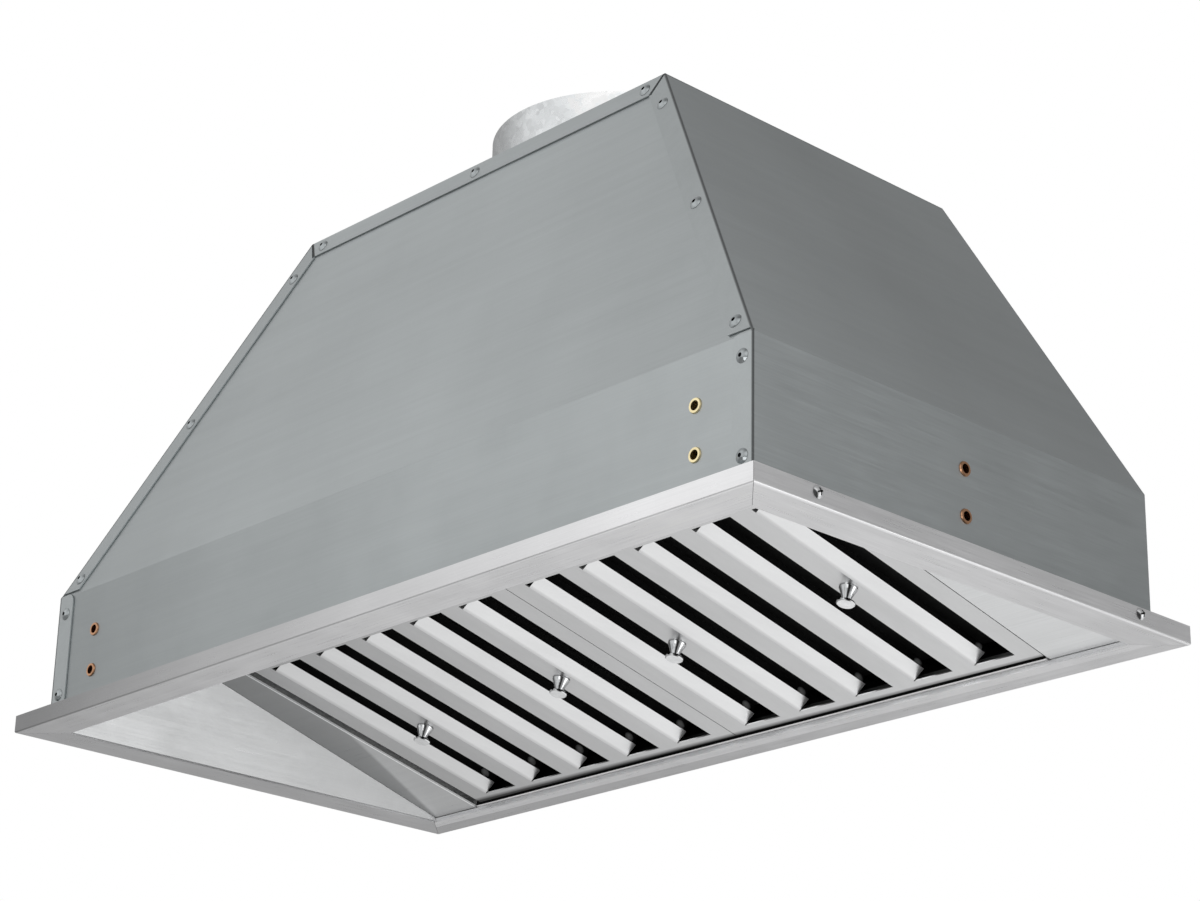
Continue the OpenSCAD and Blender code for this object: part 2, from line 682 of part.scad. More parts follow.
module button_places() for (i = [0:button_count - 1])
    translate([(i - (button_count - 1) / 2) * button_pitch, 0, 0]) children();
module switch_plate() color(bright) on_control(0, lamp_share) difference() {
    translate([0, 0, lap_gap]) centred_box(plate_w, plate_h, plate_t);
    button_places() translate([0, 0, -over])
        centred_box(button_w + 2 * move_gap, button_h + 2 * move_gap, plate_t + 2 * over);
}
module switch_block() color(dark) on_control(0, lamp_share) difference() {
    translate([0, 0, -block_depth]) centred_box(block_w, block_h, block_depth);
    button_places() translate([0, 0, -button_deep - button_travel - move_gap])
        centred_box(button_w + 2 * move_gap, button_h + 2 * move_gap, block_depth);
}
// Button cap with bevelled edges, numbered from the left end
module button(i) color(dark) on_control((i - (button_count + 1) / 2) * button_pitch, lamp_share)
    intersection() {
        translate([0, 0, -button_deep]) centred_box(button_w, button_h, button_deep + button_proud);
        translate([0, button_h / 2 + over, 0]) rotate([90, 0, 0]) linear_extrude(button_h + 2 * over)
            polygon([[-button_w / 2, -button_deep], [button_w / 2, -button_deep],
                [button_w / 2, button_proud - ring_edge], [button_w / 2 - ring_edge, button_proud],
                [-button_w / 2 + ring_edge, button_proud], [-button_w / 2, button_proud - ring_edge]]);
    }
module button_1() button(1);
module button_2() button(2);
module button_3() button(3);
module button_4() button(4);

// Grease channel behind the filters, hung on the pan's rear edge
channel_side_gap = 2;
channel_left = open_left + channel_side_gap;
channel_len = opening_w - 2 * channel_side_gap;
channel_wall = 9;
module grease_channel() color(bright) in_pan() difference() {
    union() {
        translate([channel_left, channel_v, 0]) cube([channel_len, channel_w, channel_wall]);
        translate([channel_left, channel_end - filter_t, rear_curb_h + move_gap])
            cube([channel_len, filter_t + move_gap + wall_t / 2, filter_t]);
    }
    translate([channel_left + filter_t, channel_v + filter_t, filter_t])
        cube([channel_len - 2 * filter_t, channel_w - 2 * filter_t, channel_wall]);
    translate([channel_left - over, channel_v + filter_t, rear_curb_h + move_gap + filter_t])
        cube([channel_len + 2 * over, 2 * channel_wall, channel_wall]);
}

// Filters: a tray with lipped slots below, a row of channels above, and a rod to swing on
filter_w = (opening_w - filter_gap_left - filter_gap_right - filter_joint) / 2;
left_filter_x = open_left + filter_gap_left;
right_filter_x = left_filter_x + filter_w + filter_joint;
slot_pitch = (filter_w - 2 * slot_margin - slot_w) / (slot_count - 1);
slot_len = filter_len - slot_front - slot_rear;
flat_w = slot_pitch - slot_w;
roll_h = 3.5;
lip_end_gap = 0.5;
lip_start = 4;
hook_w = 14;
hook_in = 40;
hook_t = 1.2;
baffle_lap = 4;
baffle_drop = 8;
// Distance of each knob along the pan from the hood's middle, and its shift across its flat
knob_v_left = [60.5, 51.6];
knob_v_right = [50, 45];
knob_shift_left = [-2.2, -0.3];
knob_shift_right = [-3, 0.2];
stud_d = 4;
nut_d = 7;
nut_h = 3;
function slot_x(i) = slot_margin + i * slot_pitch;
knob_flats = [1, slot_count - 1];
module knob_places(v, shift) for (i = [0, 1])
    translate([slot_x(knob_flats[i]) - flat_w / 2 + shift[i], v[i] - filter_front, 0]) children();

module filter_rod() color(zinc) in_pan() translate([open_left - wall_t - rod_tail, rod_v, rod_up])
    rotate([0, 90, 0]) cylinder(d = rod_d, h = opening_w + 2 * wall_t + 2 * rod_tail);
module lip_section() polygon([[-2 * filter_t, 0], [0, 0], [lip_run, lip_run],
    [lip_run - filter_t * cos(45), lip_run + filter_t * sin(45)], [filter_t * (1 - 1 / cos(45)), filter_t],
    [-2 * filter_t, filter_t]]);
module tray(x0, knob_v, knob_shift) in_pan() translate([x0, filter_front, 0]) difference() {
    union() {
        difference() {
            cube([filter_w, filter_len, filter_h]);
            translate([filter_t, filter_t, filter_t])
                cube([filter_w - 2 * filter_t, filter_len - 2 * filter_t, filter_h]);
            for (i = [0:slot_count - 1]) translate([slot_x(i), slot_front, -over])
                cube([slot_w, slot_len, filter_t + 2 * over]);
        }
        for (i = [0:slot_count - 1]) translate([slot_x(i), 0, 0]) {
            along_y(slot_front + lip_start, slot_front + slot_len - lip_end_gap) lip_section();
            translate([slot_w, slot_front, 0]) cube([filter_t, slot_len, roll_h]);
        }
        for (x = [hook_in, filter_w - hook_in - hook_w]) translate([x, -rod_back, rod_up]) {
            rotate([0, 90, 0]) cylinder(d = rod_d + 2 * run_gap + 2 * hook_t, h = hook_w);
            translate([0, 0, -hook_t / 2]) cube([hook_w, rod_back + filter_t / 2, hook_t]);
        }
    }
    translate([hook_in - over, -rod_back, rod_up]) rotate([0, 90, 0])
        cylinder(d = rod_d + 2 * run_gap, h = filter_w - 2 * hook_in + 2 * over);
    knob_places(knob_v, knob_shift) translate([0, 0, -over]) cylinder(d = stud_d + 2 * screw_clear, h = nut_h);
}
module baffles(x0) in_pan() translate([x0, filter_front, 0]) for (i = [0:slot_count - 1])
    translate([slot_x(i) - baffle_lap, 0, filter_h - filter_t - baffle_drop]) difference() {
        translate([0, filter_t + lap_gap, 0])
            cube([slot_w + 2 * baffle_lap, filter_len - 2 * filter_t - 2 * lap_gap, baffle_drop]);
        translate([filter_t, 0, -filter_t])
            cube([slot_w + 2 * baffle_lap - 2 * filter_t, filter_len, baffle_drop]);
    }
// Spool-shaped knob that hangs below its flat, with its stud and nut
knob_head_h = 2;
knob_curve = 1.3;
knob_rim = 0.6;
module knob() {
    foot_r = knob_foot_d / 2;
    waist_r = knob_waist_d / 2;
    head_r = knob_head_d / 2;
    neck_h = knob_h - knob_head_h;
    rotate_extrude() polygon(concat([[0, -lap_gap], [foot_r, -lap_gap], [foot_r, -knob_rim - lap_gap]],
        [for (i = [1:arc_steps]) let(t = i / arc_steps)
            [waist_r + (foot_r - waist_r) * pow(1 - t, knob_curve),
             -knob_rim - lap_gap - (neck_h - knob_rim - lap_gap) * t]],
        [[head_r - knob_rim, -neck_h], [head_r, -neck_h - knob_rim],
         [head_r, -knob_h + knob_rim], [head_r - knob_rim, -knob_h], [0, -knob_h]]));
    cylinder_up(stud_d, nut_h + 2 * filter_t);
    difference() {
        translate([0, 0, filter_t + lap_gap]) cylinder(d = nut_d, h = nut_h, $fn = 6);
        cylinder_up(stud_d + 2 * screw_clear, 2 * nut_h + 2 * filter_t);
    }
}
module cylinder_up(d, h) translate([0, 0, -knob_rim]) cylinder(d = d, h = h + knob_rim);
module knobs(x0, v, shift) in_pan() translate([x0, filter_front, 0]) knob_places(v, shift) knob();
module left_filter_tray() color(bright) tray(left_filter_x, knob_v_left, knob_shift_left);
module right_filter_tray() color(bright) tray(right_filter_x, knob_v_right, knob_shift_right);
module left_filter_baffles() color(bright) baffles(left_filter_x);
module right_filter_baffles() color(bright) baffles(right_filter_x);
module left_filter_knobs() color(zinc) knobs(left_filter_x, knob_v_left, knob_shift_left);
module right_filter_knobs() color(zinc) knobs(right_filter_x, knob_v_right, knob_shift_right);

// Duct collar with its damper: two half-round flaps on one pin
collar_flange_w = 13;
collar_rivet_count = 6;
damper_up = 18;
damper_clear = 1.5;
flap_t = 0.8;
knuckle_t = 1.1;
knuckle_count = 6;
knuckle_end = 20;
knuckle_gap = 0.5;
stop_w = 10;
stop_reach = 5;
pin_inset = 0.1;
collar_r = duct_d / 2;
collar_in = collar_r - collar_t;
flap_r = collar_in - damper_clear;
pin_r = damper_pin_d / 2;
knuckle_r = pin_r + run_gap + knuckle_t;
knuckle_len = 2 * (flap_r - knuckle_end) / knuckle_count;
module collar_rivet_places() for (i = [0:collar_rivet_count - 1])
    on_top(0, duct_y) rotate((i + 0.5) * 360 / collar_rivet_count)
        translate([collar_r + collar_flange_w / 2, 0, 0]) children();
module at_damper() on_top(0, duct_y) translate([0, 0, damper_up]) children();
module duct_collar() color(zinc) difference() {
    union() {
        on_top(0, duct_y) translate([0, 0, lap_gap]) difference() {
            union() {
                cylinder(r = collar_r, h = collar_h - lap_gap, $fn = 96);
                cylinder(r = collar_r + collar_flange_w, h = collar_t, $fn = 96);
            }
            translate([0, 0, -over]) cylinder(r = collar_in, h = collar_h + 2 * over, $fn = 96);
        }
        at_damper() for (a = [90, 270]) rotate(a)
            translate([collar_in - stop_reach, -stop_w / 2, -flap_t / 2 - move_gap - flap_t])
                cube([stop_reach + collar_t / 2, stop_w, flap_t]);
    }
    collar_rivet_places() translate([0, 0, -over])
        cylinder(d = rivet_d + 2 * rivet_clear, h = collar_t + 2 * over);
    at_damper() translate([-duct_d, 0, 0]) rotate([0, 90, 0])
        cylinder(r = pin_r + run_gap, h = 2 * duct_d);
}
module collar_rivets() color(zinc) collar_rivet_places() translate([0, 0, collar_t + lap_gap]) rivet();
module damper_pin() color(zinc) at_damper() translate([pin_inset - collar_r, 0, 0]) rotate([0, 90, 0])
    cylinder(r = pin_r, h = duct_d - 2 * pin_inset);
module flap(first) difference() {
    union() {
        intersection() {
            translate([0, 0, -flap_t / 2]) cylinder(r = flap_r, h = flap_t, $fn = 96);
            translate([-flap_r, knuckle_r + knuckle_gap, -flap_t]) cube([2 * flap_r, flap_r, 2 * flap_t]);
        }
        for (i = [first:2:knuckle_count - 1])
            translate([i * knuckle_len + knuckle_end - flap_r + knuckle_gap, 0, 0]) {
                rotate([0, 90, 0]) cylinder(r = knuckle_r, h = knuckle_len - 2 * knuckle_gap);
                translate([0, 0, -flap_t / 2])
                    cube([knuckle_len - 2 * knuckle_gap, knuckle_r + 2 * knuckle_gap, flap_t]);
            }
    }
    translate([-flap_r, 0, 0]) rotate([0, 90, 0]) cylinder(r = pin_r + run_gap, h = 2 * flap_r);
}
module rear_damper_flap() color(bright) at_damper() flap(0);
module front_damper_flap() color(bright) at_damper() mirror([0, 1, 0]) flap(1);

// Blower: a scroll round a double-inlet impeller, hung from the top on its outlet plate
wheel_r = wheel_d / 2;
tongue_angle = 70;
scroll_step = 10;
scroll_side = 5;
scroll_min = wheel_r + tongue_gap;
scroll_max = scroll_min + scroll_growth;
blower_y = duct_y - (scroll_min * cos(tongue_angle) + scroll_max) / 2;
scroll_half = wheel_w / 2 + scroll_side;
plate_half = 96;
outlet_screw_in = 7;
plate_top = top_z - layer;
outlet_z = plate_top - blower_t - lap_gap;
blade_depth = 12;
blade_t = 0.8;
blade_curve = 8.5;
blade_turn = 24;
wheel_ring = 3;
wheel_ring_t = 1;
disc_t = 1.5;
disc_x = -8;
hub_wall = 6;
hub_r = shaft_d / 2 + hub_wall;
hub_before = 7;
hub_after = 12;
shaft_end_gap = 3;
mouth_r = wheel_r - blade_depth;
mouth_curl = 5;
motor_gap = 24;
motor_end = disc_x - hub_before - motor_gap;
motor_nose_share = 0.64;
ring_band = 12;
ring_t = 1.4;
arm_w = 16;
arm_count = 3;
arm_reach = 16;
arm_screw_len = 5;
module at_axis() translate([0, blower_y, axis_z]) children();
function scroll_r(a) = scroll_min + scroll_growth * (a - tongue_angle) / (360 - tongue_angle);
// Outline of the flow passage, grown outwards by d and up by rise
function tongue_start(d) = acos((scroll_min * cos(tongue_angle) - d) / (scroll_min + d));
function scroll_pts(d, rise) = concat(
    [(scroll_min + d) * [cos(tongue_start(d)), sin(tongue_start(d))]],
    [for (a = [tongue_angle + scroll_step:scroll_step:360]) (scroll_r(a) + d) * [cos(a), sin(a)]],
    [[scroll_max + d, outlet_z - axis_z + rise],
     [scroll_min * cos(tongue_angle) - d, outlet_z - axis_z + rise]]);
module outlet_screw_places() for (x = [-1, 1], y = [-1, 1])
    on_top(x * (plate_half - outlet_screw_in), duct_y + y * (plate_half - outlet_screw_in)) children();
module blower_outlet_plate() color(zinc) difference() {
    translate([-plate_half, duct_y - plate_half, outlet_z + lap_gap])
        cube([2 * plate_half, 2 * plate_half, blower_t]);
    translate([-scroll_half, blower_y + scroll_min * cos(tongue_angle), outlet_z - over])
        cube([2 * scroll_half, scroll_max - scroll_min * cos(tongue_angle), 2 * blower_t + 2 * over]);
    outlet_screw_places() screw_hole();
    collar_rivet_places() translate([0, 0, -screw_len])
        cylinder(d = rivet_bulb_d + 2 * move_gap, h = 2 * screw_len);
}
module blower_scroll() color(zinc) at_axis() difference() {
    along_x(-scroll_half, scroll_half) polygon(scroll_pts(blower_t, 0));
    along_x(-scroll_half - over, scroll_half + over) polygon(scroll_pts(0, over));
}
// Side plate with a curled inlet mouth, on the right of the scroll
module side_plate() at_axis() translate([scroll_half + lap_gap, 0, 0]) {
    mouth_out = mouth_r + mouth_curl;
    difference() {
        along_x(0, blower_t) polygon(scroll_pts(blower_t, 0));
        translate([-over, 0, 0]) rotate([0, 90, 0]) cylinder(r = mouth_out, h = blower_t + 2 * over, $fn = 72);
        arm_places() rotate([0, 90, 0]) translate([0, 0, -screw_len])
            cylinder(d = screw_d + 2 * screw_clear, h = 2 * screw_len);
    }
    rotate([0, 90, 0]) rotate_extrude($fn = 72) polygon(concat(
        [[mouth_out + over, 0], [mouth_out + over, blower_t]],
        arc_pts([mouth_out, blower_t - mouth_curl], mouth_curl, 90, 180),
        arc_pts([mouth_out, blower_t - mouth_curl], mouth_curl - blower_t, 180, 90)));
}
module right_blower_plate() color(zinc) side_plate();
module left_blower_plate() color(zinc) mirror([1, 0, 0]) side_plate();
// Forward-curved blade: an arc from the inner to the outer edge of the impeller
module blade_section() {
    lean = blade_turn / 2;
    outer = arc_pts([0, 0], blade_curve, -lean * 2, 180 - lean * 4);
    inner = arc_pts([0, 0], blade_curve - blade_t, 180 - lean * 4, -lean * 2);
    polygon(concat(outer, inner));
}
module blower_wheel() color(zinc) at_axis() rotate([90, 0, 90]) difference() {
    union() {
        for (i = [0:blade_count - 1]) rotate(i * 360 / blade_count) intersection() {
            translate([mouth_r + blade_depth / 2, 0, -wheel_w / 2]) linear_extrude(wheel_w)
                translate([-blade_curve * sin(blade_turn), -blade_curve * cos(blade_turn)]) blade_section();
            translate([mouth_r, -blade_curve, -wheel_w / 2])
                cube([blade_depth - wheel_ring_t, 2 * blade_curve, wheel_w]);
        }
        for (z = [-wheel_w / 2, wheel_w / 2 - wheel_ring]) translate([0, 0, z]) difference() {
            cylinder(r = wheel_r, h = wheel_ring, $fn = 96);
            translate([0, 0, -over]) cylinder(r = wheel_r - wheel_ring, h = wheel_ring + 2 * over, $fn = 96);
        }
        translate([0, 0, disc_x]) cylinder(r = wheel_r - wheel_ring_t, h = disc_t, $fn = 96);
        translate([0, 0, disc_x - hub_before]) cylinder(r = hub_r, h = hub_before + hub_after);
    }
    translate([0, 0, -wheel_w]) cylinder(r = shaft_d / 2 + run_gap, h = 2 * wheel_w);
}
module motor_shaft() color("silver") at_axis() rotate([0, 90, 0])
    translate([0, 0, motor_end - motor_len + shaft_end_gap])
        cylinder(d = shaft_d, h = disc_x + hub_after - motor_end + motor_len);
module blower_motor() color(dark) at_axis() rotate([0, 90, 0])
    translate([0, 0, motor_end - motor_len]) difference() {
    rotate_extrude($fn = 72) polygon([[0, 0], [motor_d / 2 * motor_nose_share, 0],
        [motor_d / 2 - ring_t, ring_band / 2], [motor_d / 2, ring_band], [motor_d / 2, motor_len - ring_band],
        [motor_d / 2 - ring_t, motor_len - ring_band / 2], [motor_d / 2 * motor_nose_share, motor_len],
        [0, motor_len]]);
    translate([0, 0, shaft_end_gap - move_gap]) cylinder(r = shaft_d / 2 + run_gap, h = motor_len);
}
module arm_places() for (i = [0:arm_count - 1]) rotate([i * 360 / arm_count, 0, 0])
    translate([0, 0, mouth_r + mouth_curl + arm_reach / 2]) children();
bracket_end = -scroll_half - blower_t - 2 * lap_gap;
module motor_bracket() color(zinc) at_axis() difference() {
    union() {
        rotate([0, 90, 0]) translate([0, 0, bracket_end - ring_band]) difference() {
            cylinder(r = motor_d / 2 + lap_gap + ring_t, h = ring_band, $fn = 72);
            translate([0, 0, -over]) cylinder(r = motor_d / 2 + lap_gap, h = ring_band + 2 * over, $fn = 72);
        }
        for (i = [0:arm_count - 1]) rotate([i * 360 / arm_count, 0, 0])
            translate([bracket_end - ring_t, -arm_w / 2, motor_d / 2 + lap_gap + ring_t / 2])
                cube([ring_t, arm_w, mouth_r + mouth_curl + arm_reach - motor_d / 2]);
    }
    arm_places() rotate([0, 90, 0]) translate([0, 0, -duct_d])
        cylinder(d = screw_d + 2 * screw_clear, h = 2 * duct_d);
}
module blower_screws() color(zinc) {
    outlet_screw_places() screw(screw_len);
    at_axis() arm_places() translate([bracket_end - ring_t, 0, 0]) rotate([0, -90, 0]) screw(arm_screw_len);
    box_screw_places() screw(arm_screw_len);
}

// Wiring box under the top, beside the blower, with its cover and the gland for a supply cable
box_gap = 3;
box_w = top_x - lap_w - plate_half - 2 * box_gap;
box_len = 100;
box_h = 58;
gland_x = plate_half + box_gap + box_w / 2;
gland_y = 0;
gland_thread_d = 20;
gland_bore_d = 11;
gland_hex_d = 27;
gland_hex_h = 6;
gland_dome_h = 12;
dome_share = 0.8;
box_screw_share = 0.36;
box_screw_y = box_len * box_screw_share;
module box_screw_places() for (side = [-1, 1]) on_top(gland_x, gland_y + side * box_screw_y) children();
module wiring_box() color(zinc) difference() {
    translate([gland_x - box_w / 2, gland_y - box_len / 2, plate_top - box_h]) cube([box_w, box_len, box_h]);
    translate([gland_x - box_w / 2 + wall_t, gland_y - box_len / 2 + wall_t, plate_top - box_h - wall_t])
        cube([box_w - 2 * wall_t, box_len - 2 * wall_t, box_h]);
    box_screw_places() screw_hole();
    on_top(gland_x, gland_y) translate([0, 0, -box_h / 2]) cylinder(d = gland_thread_d + 2 * lap_gap, h = box_h);
}
module wiring_box_cover() color(zinc)
    translate([gland_x - box_w / 2, gland_y - box_len / 2, plate_top - box_h - lap_gap - wall_t])
        cube([box_w, box_len, wall_t]);
module cable_gland() color(dark) on_top(gland_x, gland_y) difference() {
    union() {
        translate([0, 0, lap_gap]) cylinder(d = gland_hex_d, h = gland_hex_h, $fn = 6);
        translate([0, 0, gland_hex_h])
            cylinder(d1 = gland_hex_d * dome_share, d2 = gland_thread_d * dome_share, h = gland_dome_h);
        translate([0, 0, -gland_dome_h]) cylinder(d = gland_thread_d, h = gland_dome_h + gland_hex_h);
        translate([0, 0, -layer_in - lap_gap - gland_hex_h]) cylinder(d = gland_hex_d, h = gland_hex_h, $fn = 6);
    }
    translate([0, 0, -gland_dome_h - over]) cylinder(d = gland_bore_d, h = 3 * gland_dome_h);
}

front_panel();
back_panel();
left_side_panel();
right_side_panel();
top_panel();
panel_rivets();
threaded_inserts();
front_rail();
back_rail();
left_rail();
right_rail();
frame_screws();
filter_pan();
left_end_panel();
right_end_panel();
control_panel();
grease_channel();
filter_rod();
left_filter_tray();
left_filter_baffles();
left_filter_knobs();
right_filter_tray();
right_filter_baffles();
right_filter_knobs();
duct_collar();
collar_rivets();
damper_pin();
front_damper_flap();
rear_damper_flap();
blower_outlet_plate();
blower_scroll();
left_blower_plate();
right_blower_plate();
blower_wheel();
motor_shaft();
blower_motor();
motor_bracket();
blower_screws();
left_lamp_ring();
right_lamp_ring();
left_lamp_lens();
right_lamp_lens();
left_lamp_can();
right_lamp_can();
switch_plate();
switch_block();
button_1();
button_2();
button_3();
button_4();
wiring_box();
wiring_box_cover();
cable_gland();
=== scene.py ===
"""Range hood insert: finishes, two narrow folded lips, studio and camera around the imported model."""
import json
import math

import bpy
from mathutils import Matrix, Vector


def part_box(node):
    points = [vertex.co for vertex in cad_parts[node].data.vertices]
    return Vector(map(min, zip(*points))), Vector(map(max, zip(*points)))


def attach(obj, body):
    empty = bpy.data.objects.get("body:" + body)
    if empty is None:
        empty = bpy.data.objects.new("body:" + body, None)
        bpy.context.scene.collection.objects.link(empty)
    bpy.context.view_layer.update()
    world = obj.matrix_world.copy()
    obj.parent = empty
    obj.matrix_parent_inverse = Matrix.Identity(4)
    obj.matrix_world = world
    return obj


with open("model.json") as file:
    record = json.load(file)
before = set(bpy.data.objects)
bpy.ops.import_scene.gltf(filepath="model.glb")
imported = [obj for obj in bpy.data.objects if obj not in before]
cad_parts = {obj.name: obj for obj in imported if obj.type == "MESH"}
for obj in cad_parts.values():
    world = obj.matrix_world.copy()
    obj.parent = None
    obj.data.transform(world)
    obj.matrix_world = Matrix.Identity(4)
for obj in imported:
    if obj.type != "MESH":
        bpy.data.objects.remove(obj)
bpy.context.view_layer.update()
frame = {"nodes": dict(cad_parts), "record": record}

MM = 0.001
AXIS_Y = (0.0, 1.0, 0.0)
TOWARDS_FRONT = (0.0, -1.0, 0.0)

# Camera, worked out from the vanishing lines of the photograph
CAMERA_PLACE = (1.3544, -1.2334, -0.5513)
CAMERA_YAW = 47.09
CAMERA_PITCH = 21.50
CAMERA_ROLL = 1.29
FOCAL_PIXELS = 2915.0
FRAME_WIDTH = 1200.0
SENSOR = 36.0
CLIP_START = 0.05
CLIP_END = 100.0

# From here on, a ramp is a first and a last value, and the start and the end of the stretch between them

# Studio: a floor far below the hood that glows, with a painted pool of light around one place, and a sky that
# is lighter low down
FLOOR_Z = -1.30
FLOOR_SIZE = 30.0
POOL_PLACE = (0.4, 1.2)
POOL_RAMP = (0.80, 0.34, 1.4, 3.4)
SKY_RAMP = (0.45, 0.31, -0.25, 0.35)
# Bright parts of the sky: a direction, and the ramp of its light as the sky turns towards it
KEYS = [
    ((-0.30, -0.90, 0.30), (0.0, 0.62, 0.65, 1.0)),
    ((-0.72, -0.25, 0.64), (0.0, 0.36, 0.70, 1.0)),
    ((0.67, -0.63, 0.37), (0.0, 0.80, 0.80, 1.0)),
]
# Lamps: place, target, size and power
LAMPS = {
    "key_low": ((0.9, -1.9, -0.9), (0.1, 0.0, 0.05), (1.6, 1.2), 9.0),
    "fill_right": ((2.2, 1.2, -0.6), (0.0, 0.0, 0.05), (1.6, 1.6), 8.0),
}

# The shell's planes: half sizes, crease height, and the lean of the sides and of the front
BODY_X = 338.7 * MM
BODY_Y = 176.7 * MM
CREASE_Z = 98.4 * MM
SIDE_LEAN = math.radians(31.91)
FRONT_LEAN = math.radians(18.18)
# The painted shade along the bends between front and sides: how far it reaches, its full part and its level
BEND_REACH = 1.5 * MM
BEND_CORE = 0.35 * BEND_REACH
BEND_LEVEL = 0.25

# The pan's plane, tilted down towards the rear: its height at the middle of the hood, its upward normal, and
# how far along that normal it lies
PAN_TILT = math.radians(13.87)
PAN_Z = 44.7 * MM
PAN_UP = (0.0, math.sin(PAN_TILT), math.cos(PAN_TILT))
PAN_LEVEL = PAN_Z * PAN_UP[2]

# Base colours and roughnesses of the steel sheets
SHELL = (0.465, 0.494, 0.50)
SHELL_ROUGHNESS = 0.40
FRAME_STEEL = (0.885, 0.885, 0.895)
FRAME_ROUGHNESS = 0.34
PAN = (0.80, 0.81, 0.815)
PAN_ROUGHNESS = 0.36
FILTER = (0.94, 0.945, 0.95)
FILTER_ROUGHNESS = 0.33
# The channel's steel is a lighter copy of the pan's, as painted light in its groove
CHANNEL = (0.98, 0.98, 0.98)

# Levels of detail of a noise, how harsh it is, and the range in which most of its values lie
PLAIN = 2.0
MEDIUM = 3.0
FINE = 4.0
FINER = 5.0
FINEST = 6.0
HARSHNESS = 0.55
NOISE_RANGE = (0.3, 0.7)
# Stretch of a noise that makes grain along an axis
ALONG_X = (0.02, 1.0, 1.0)
ALONG_Y = (1.0, 0.02, 1.0)


class Finish:
    """The shader nodes of one material or world, made and linked one after another."""

    def __init__(self, owner):
        self.owner = owner
        self.nodes = owner.node_tree.nodes
        self.links = owner.node_tree.links
        self.shader = self.nodes.get("Principled BSDF")
        self.places = self.node("TexCoord")
        self.parts = {}

    def node(self, kind, operation=None):
        made = self.nodes.new("ShaderNode" + kind)
        if operation:
            made.operation = operation
        return made

    def put(self, value, socket):
        """Links the output of a node to a socket, or writes a constant into it."""
        if isinstance(value, bpy.types.NodeSocket):
            self.links.new(value, socket)
        else:
            socket.default_value = value

    def set(self, name, value):
        """Gives an input of the Principled shader its value."""
        self.put(value, self.shader.inputs[name])

    def math(self, operation, *values):
        made = self.node("Math", operation)
        for value, socket in zip(values, made.inputs):
            self.put(value, socket)
        return made.outputs["Value"]

    def vector(self, operation, *values):
        """A vector calculation, whose result is a number for a dot product, a distance or a length."""
        made = self.node("VectorMath", operation)
        for value, socket in zip(values, made.inputs):
            self.put(value, socket)
        is_number = operation in ("DOT_PRODUCT", "DISTANCE", "LENGTH")
        return made.outputs["Value" if is_number else "Vector"]

    def scaled(self, colour, factor):
        made = self.node("VectorMath", "SCALE")
        self.put(colour, made.inputs[0])
        self.put(factor, made.inputs["Scale"])
        return made.outputs["Vector"]

    def product(self, *factors):
        total = factors[0]
        for factor in factors[1:]:
            total = self.math("MULTIPLY", total, factor)
        return total

    def blend(self, first, second, share):
        """From the first value to the second by a share."""
        return self.math("ADD", first, self.product(self.math("SUBTRACT", second, first), share))

    def ramp(self, value, first, last, start, end):
        made = self.node("MapRange")
        for name, number in (("From Min", start), ("From Max", end), ("To Min", first), ("To Max", last)):
            made.inputs[name].default_value = number
        self.put(value, made.inputs["Value"])
        return made.outputs["Result"]

    def spread(self, noise, first, last):
        """A noise spread between two factors."""
        return self.ramp(noise, first, last, *NOISE_RANGE)

    def noise(self, scale, detail, stretch=(1, 1, 1), harshness=HARSHNESS):
        """Noise in the piece's own metres, stretched along the axes with small factors."""
        mapping = self.node("Mapping")
        mapping.inputs["Scale"].default_value = stretch
        self.put(self.places.outputs["Object"], mapping.inputs["Vector"])
        texture = self.node("TexNoise")
        texture.inputs["Scale"].default_value = scale
        texture.inputs["Detail"].default_value = detail
        texture.inputs["Roughness"].default_value = harshness
        self.put(mapping.outputs["Vector"], texture.inputs["Vector"])
        return texture.outputs["Fac"]

    def axis(self, name, source="Object"):
        """One coordinate of the place on the piece, or of its normal."""
        if source not in self.parts:
            self.parts[source] = self.node("SeparateXYZ")
            self.put(self.places.outputs[source], self.parts[source].inputs["Vector"])
        return self.parts[source].outputs[name]

    def along(self, way, source="Object"):
        """How far the place lies along a direction, or how much the normal faces it."""
        return self.vector("DOT_PRODUCT", self.places.outputs[source], way)

    def folded(self):
        """The place on the piece, mirrored so that all its coordinates are positive."""
        return self.vector("ABSOLUTE", self.places.outputs["Object"])

    def bump(self, height, strength, distance):
        made = self.node("Bump")
        made.inputs["Strength"].default_value = strength
        made.inputs["Distance"].default_value = distance
        self.put(height, made.inputs["Height"])
        self.set("Normal", made.outputs["Normal"])

    def multiply(self, *factors):
        """Multiplies the finish's colour by factors that vary over the hood."""
        colour = self.shader.inputs["Base Color"]
        self.put(self.scaled(colour.links[0].from_socket, self.product(*factors)), colour)
        return self

    def white_when_seen(self, lit, white):
        """White where the camera or a see-through surface shows it, and its own light elsewhere."""
        path = self.node("LightPath")
        mix = self.node("MixShader")
        self.put(self.math("MAXIMUM", path.outputs["Is Camera Ray"], path.outputs["Is Transmission Ray"]),
                 mix.inputs["Fac"])
        self.put(lit, mix.inputs[1])
        self.put(white, mix.inputs[2])
        return mix.outputs["Shader"]


def new_finish(name):
    material = bpy.data.materials.new(name)
    material.use_nodes = True
    return Finish(material)


# How metallic the bare and the zinc-coated sheets are
SHEET_METAL = 0.9

# Brushed sheet: noise scales per metre, how much each noise changes the tone, and the depth of the streaks
STREAK_SCALE = 900.0
STREAK_HARSHNESS = 0.7
STREAK_TONE = 0.045
STREAK_ROUGHNESS = 0.06
STREAK_BUMP = 0.06
STREAK_DEPTH = 0.2 * MM
COARSE_SCALE = 160.0
COARSE_TONE = 0.02
CLOUD_SCALE = 5.0
CLOUD_TONE = 0.05
MARK_SCALE = 26.0
MARK_STRETCH = (1.0, 0.6, 0.8)
MARK_HARSHNESS = 0.65
MARK_ROUGHNESS_RAMP = (-0.03, 0.05, 0.45, 0.75)


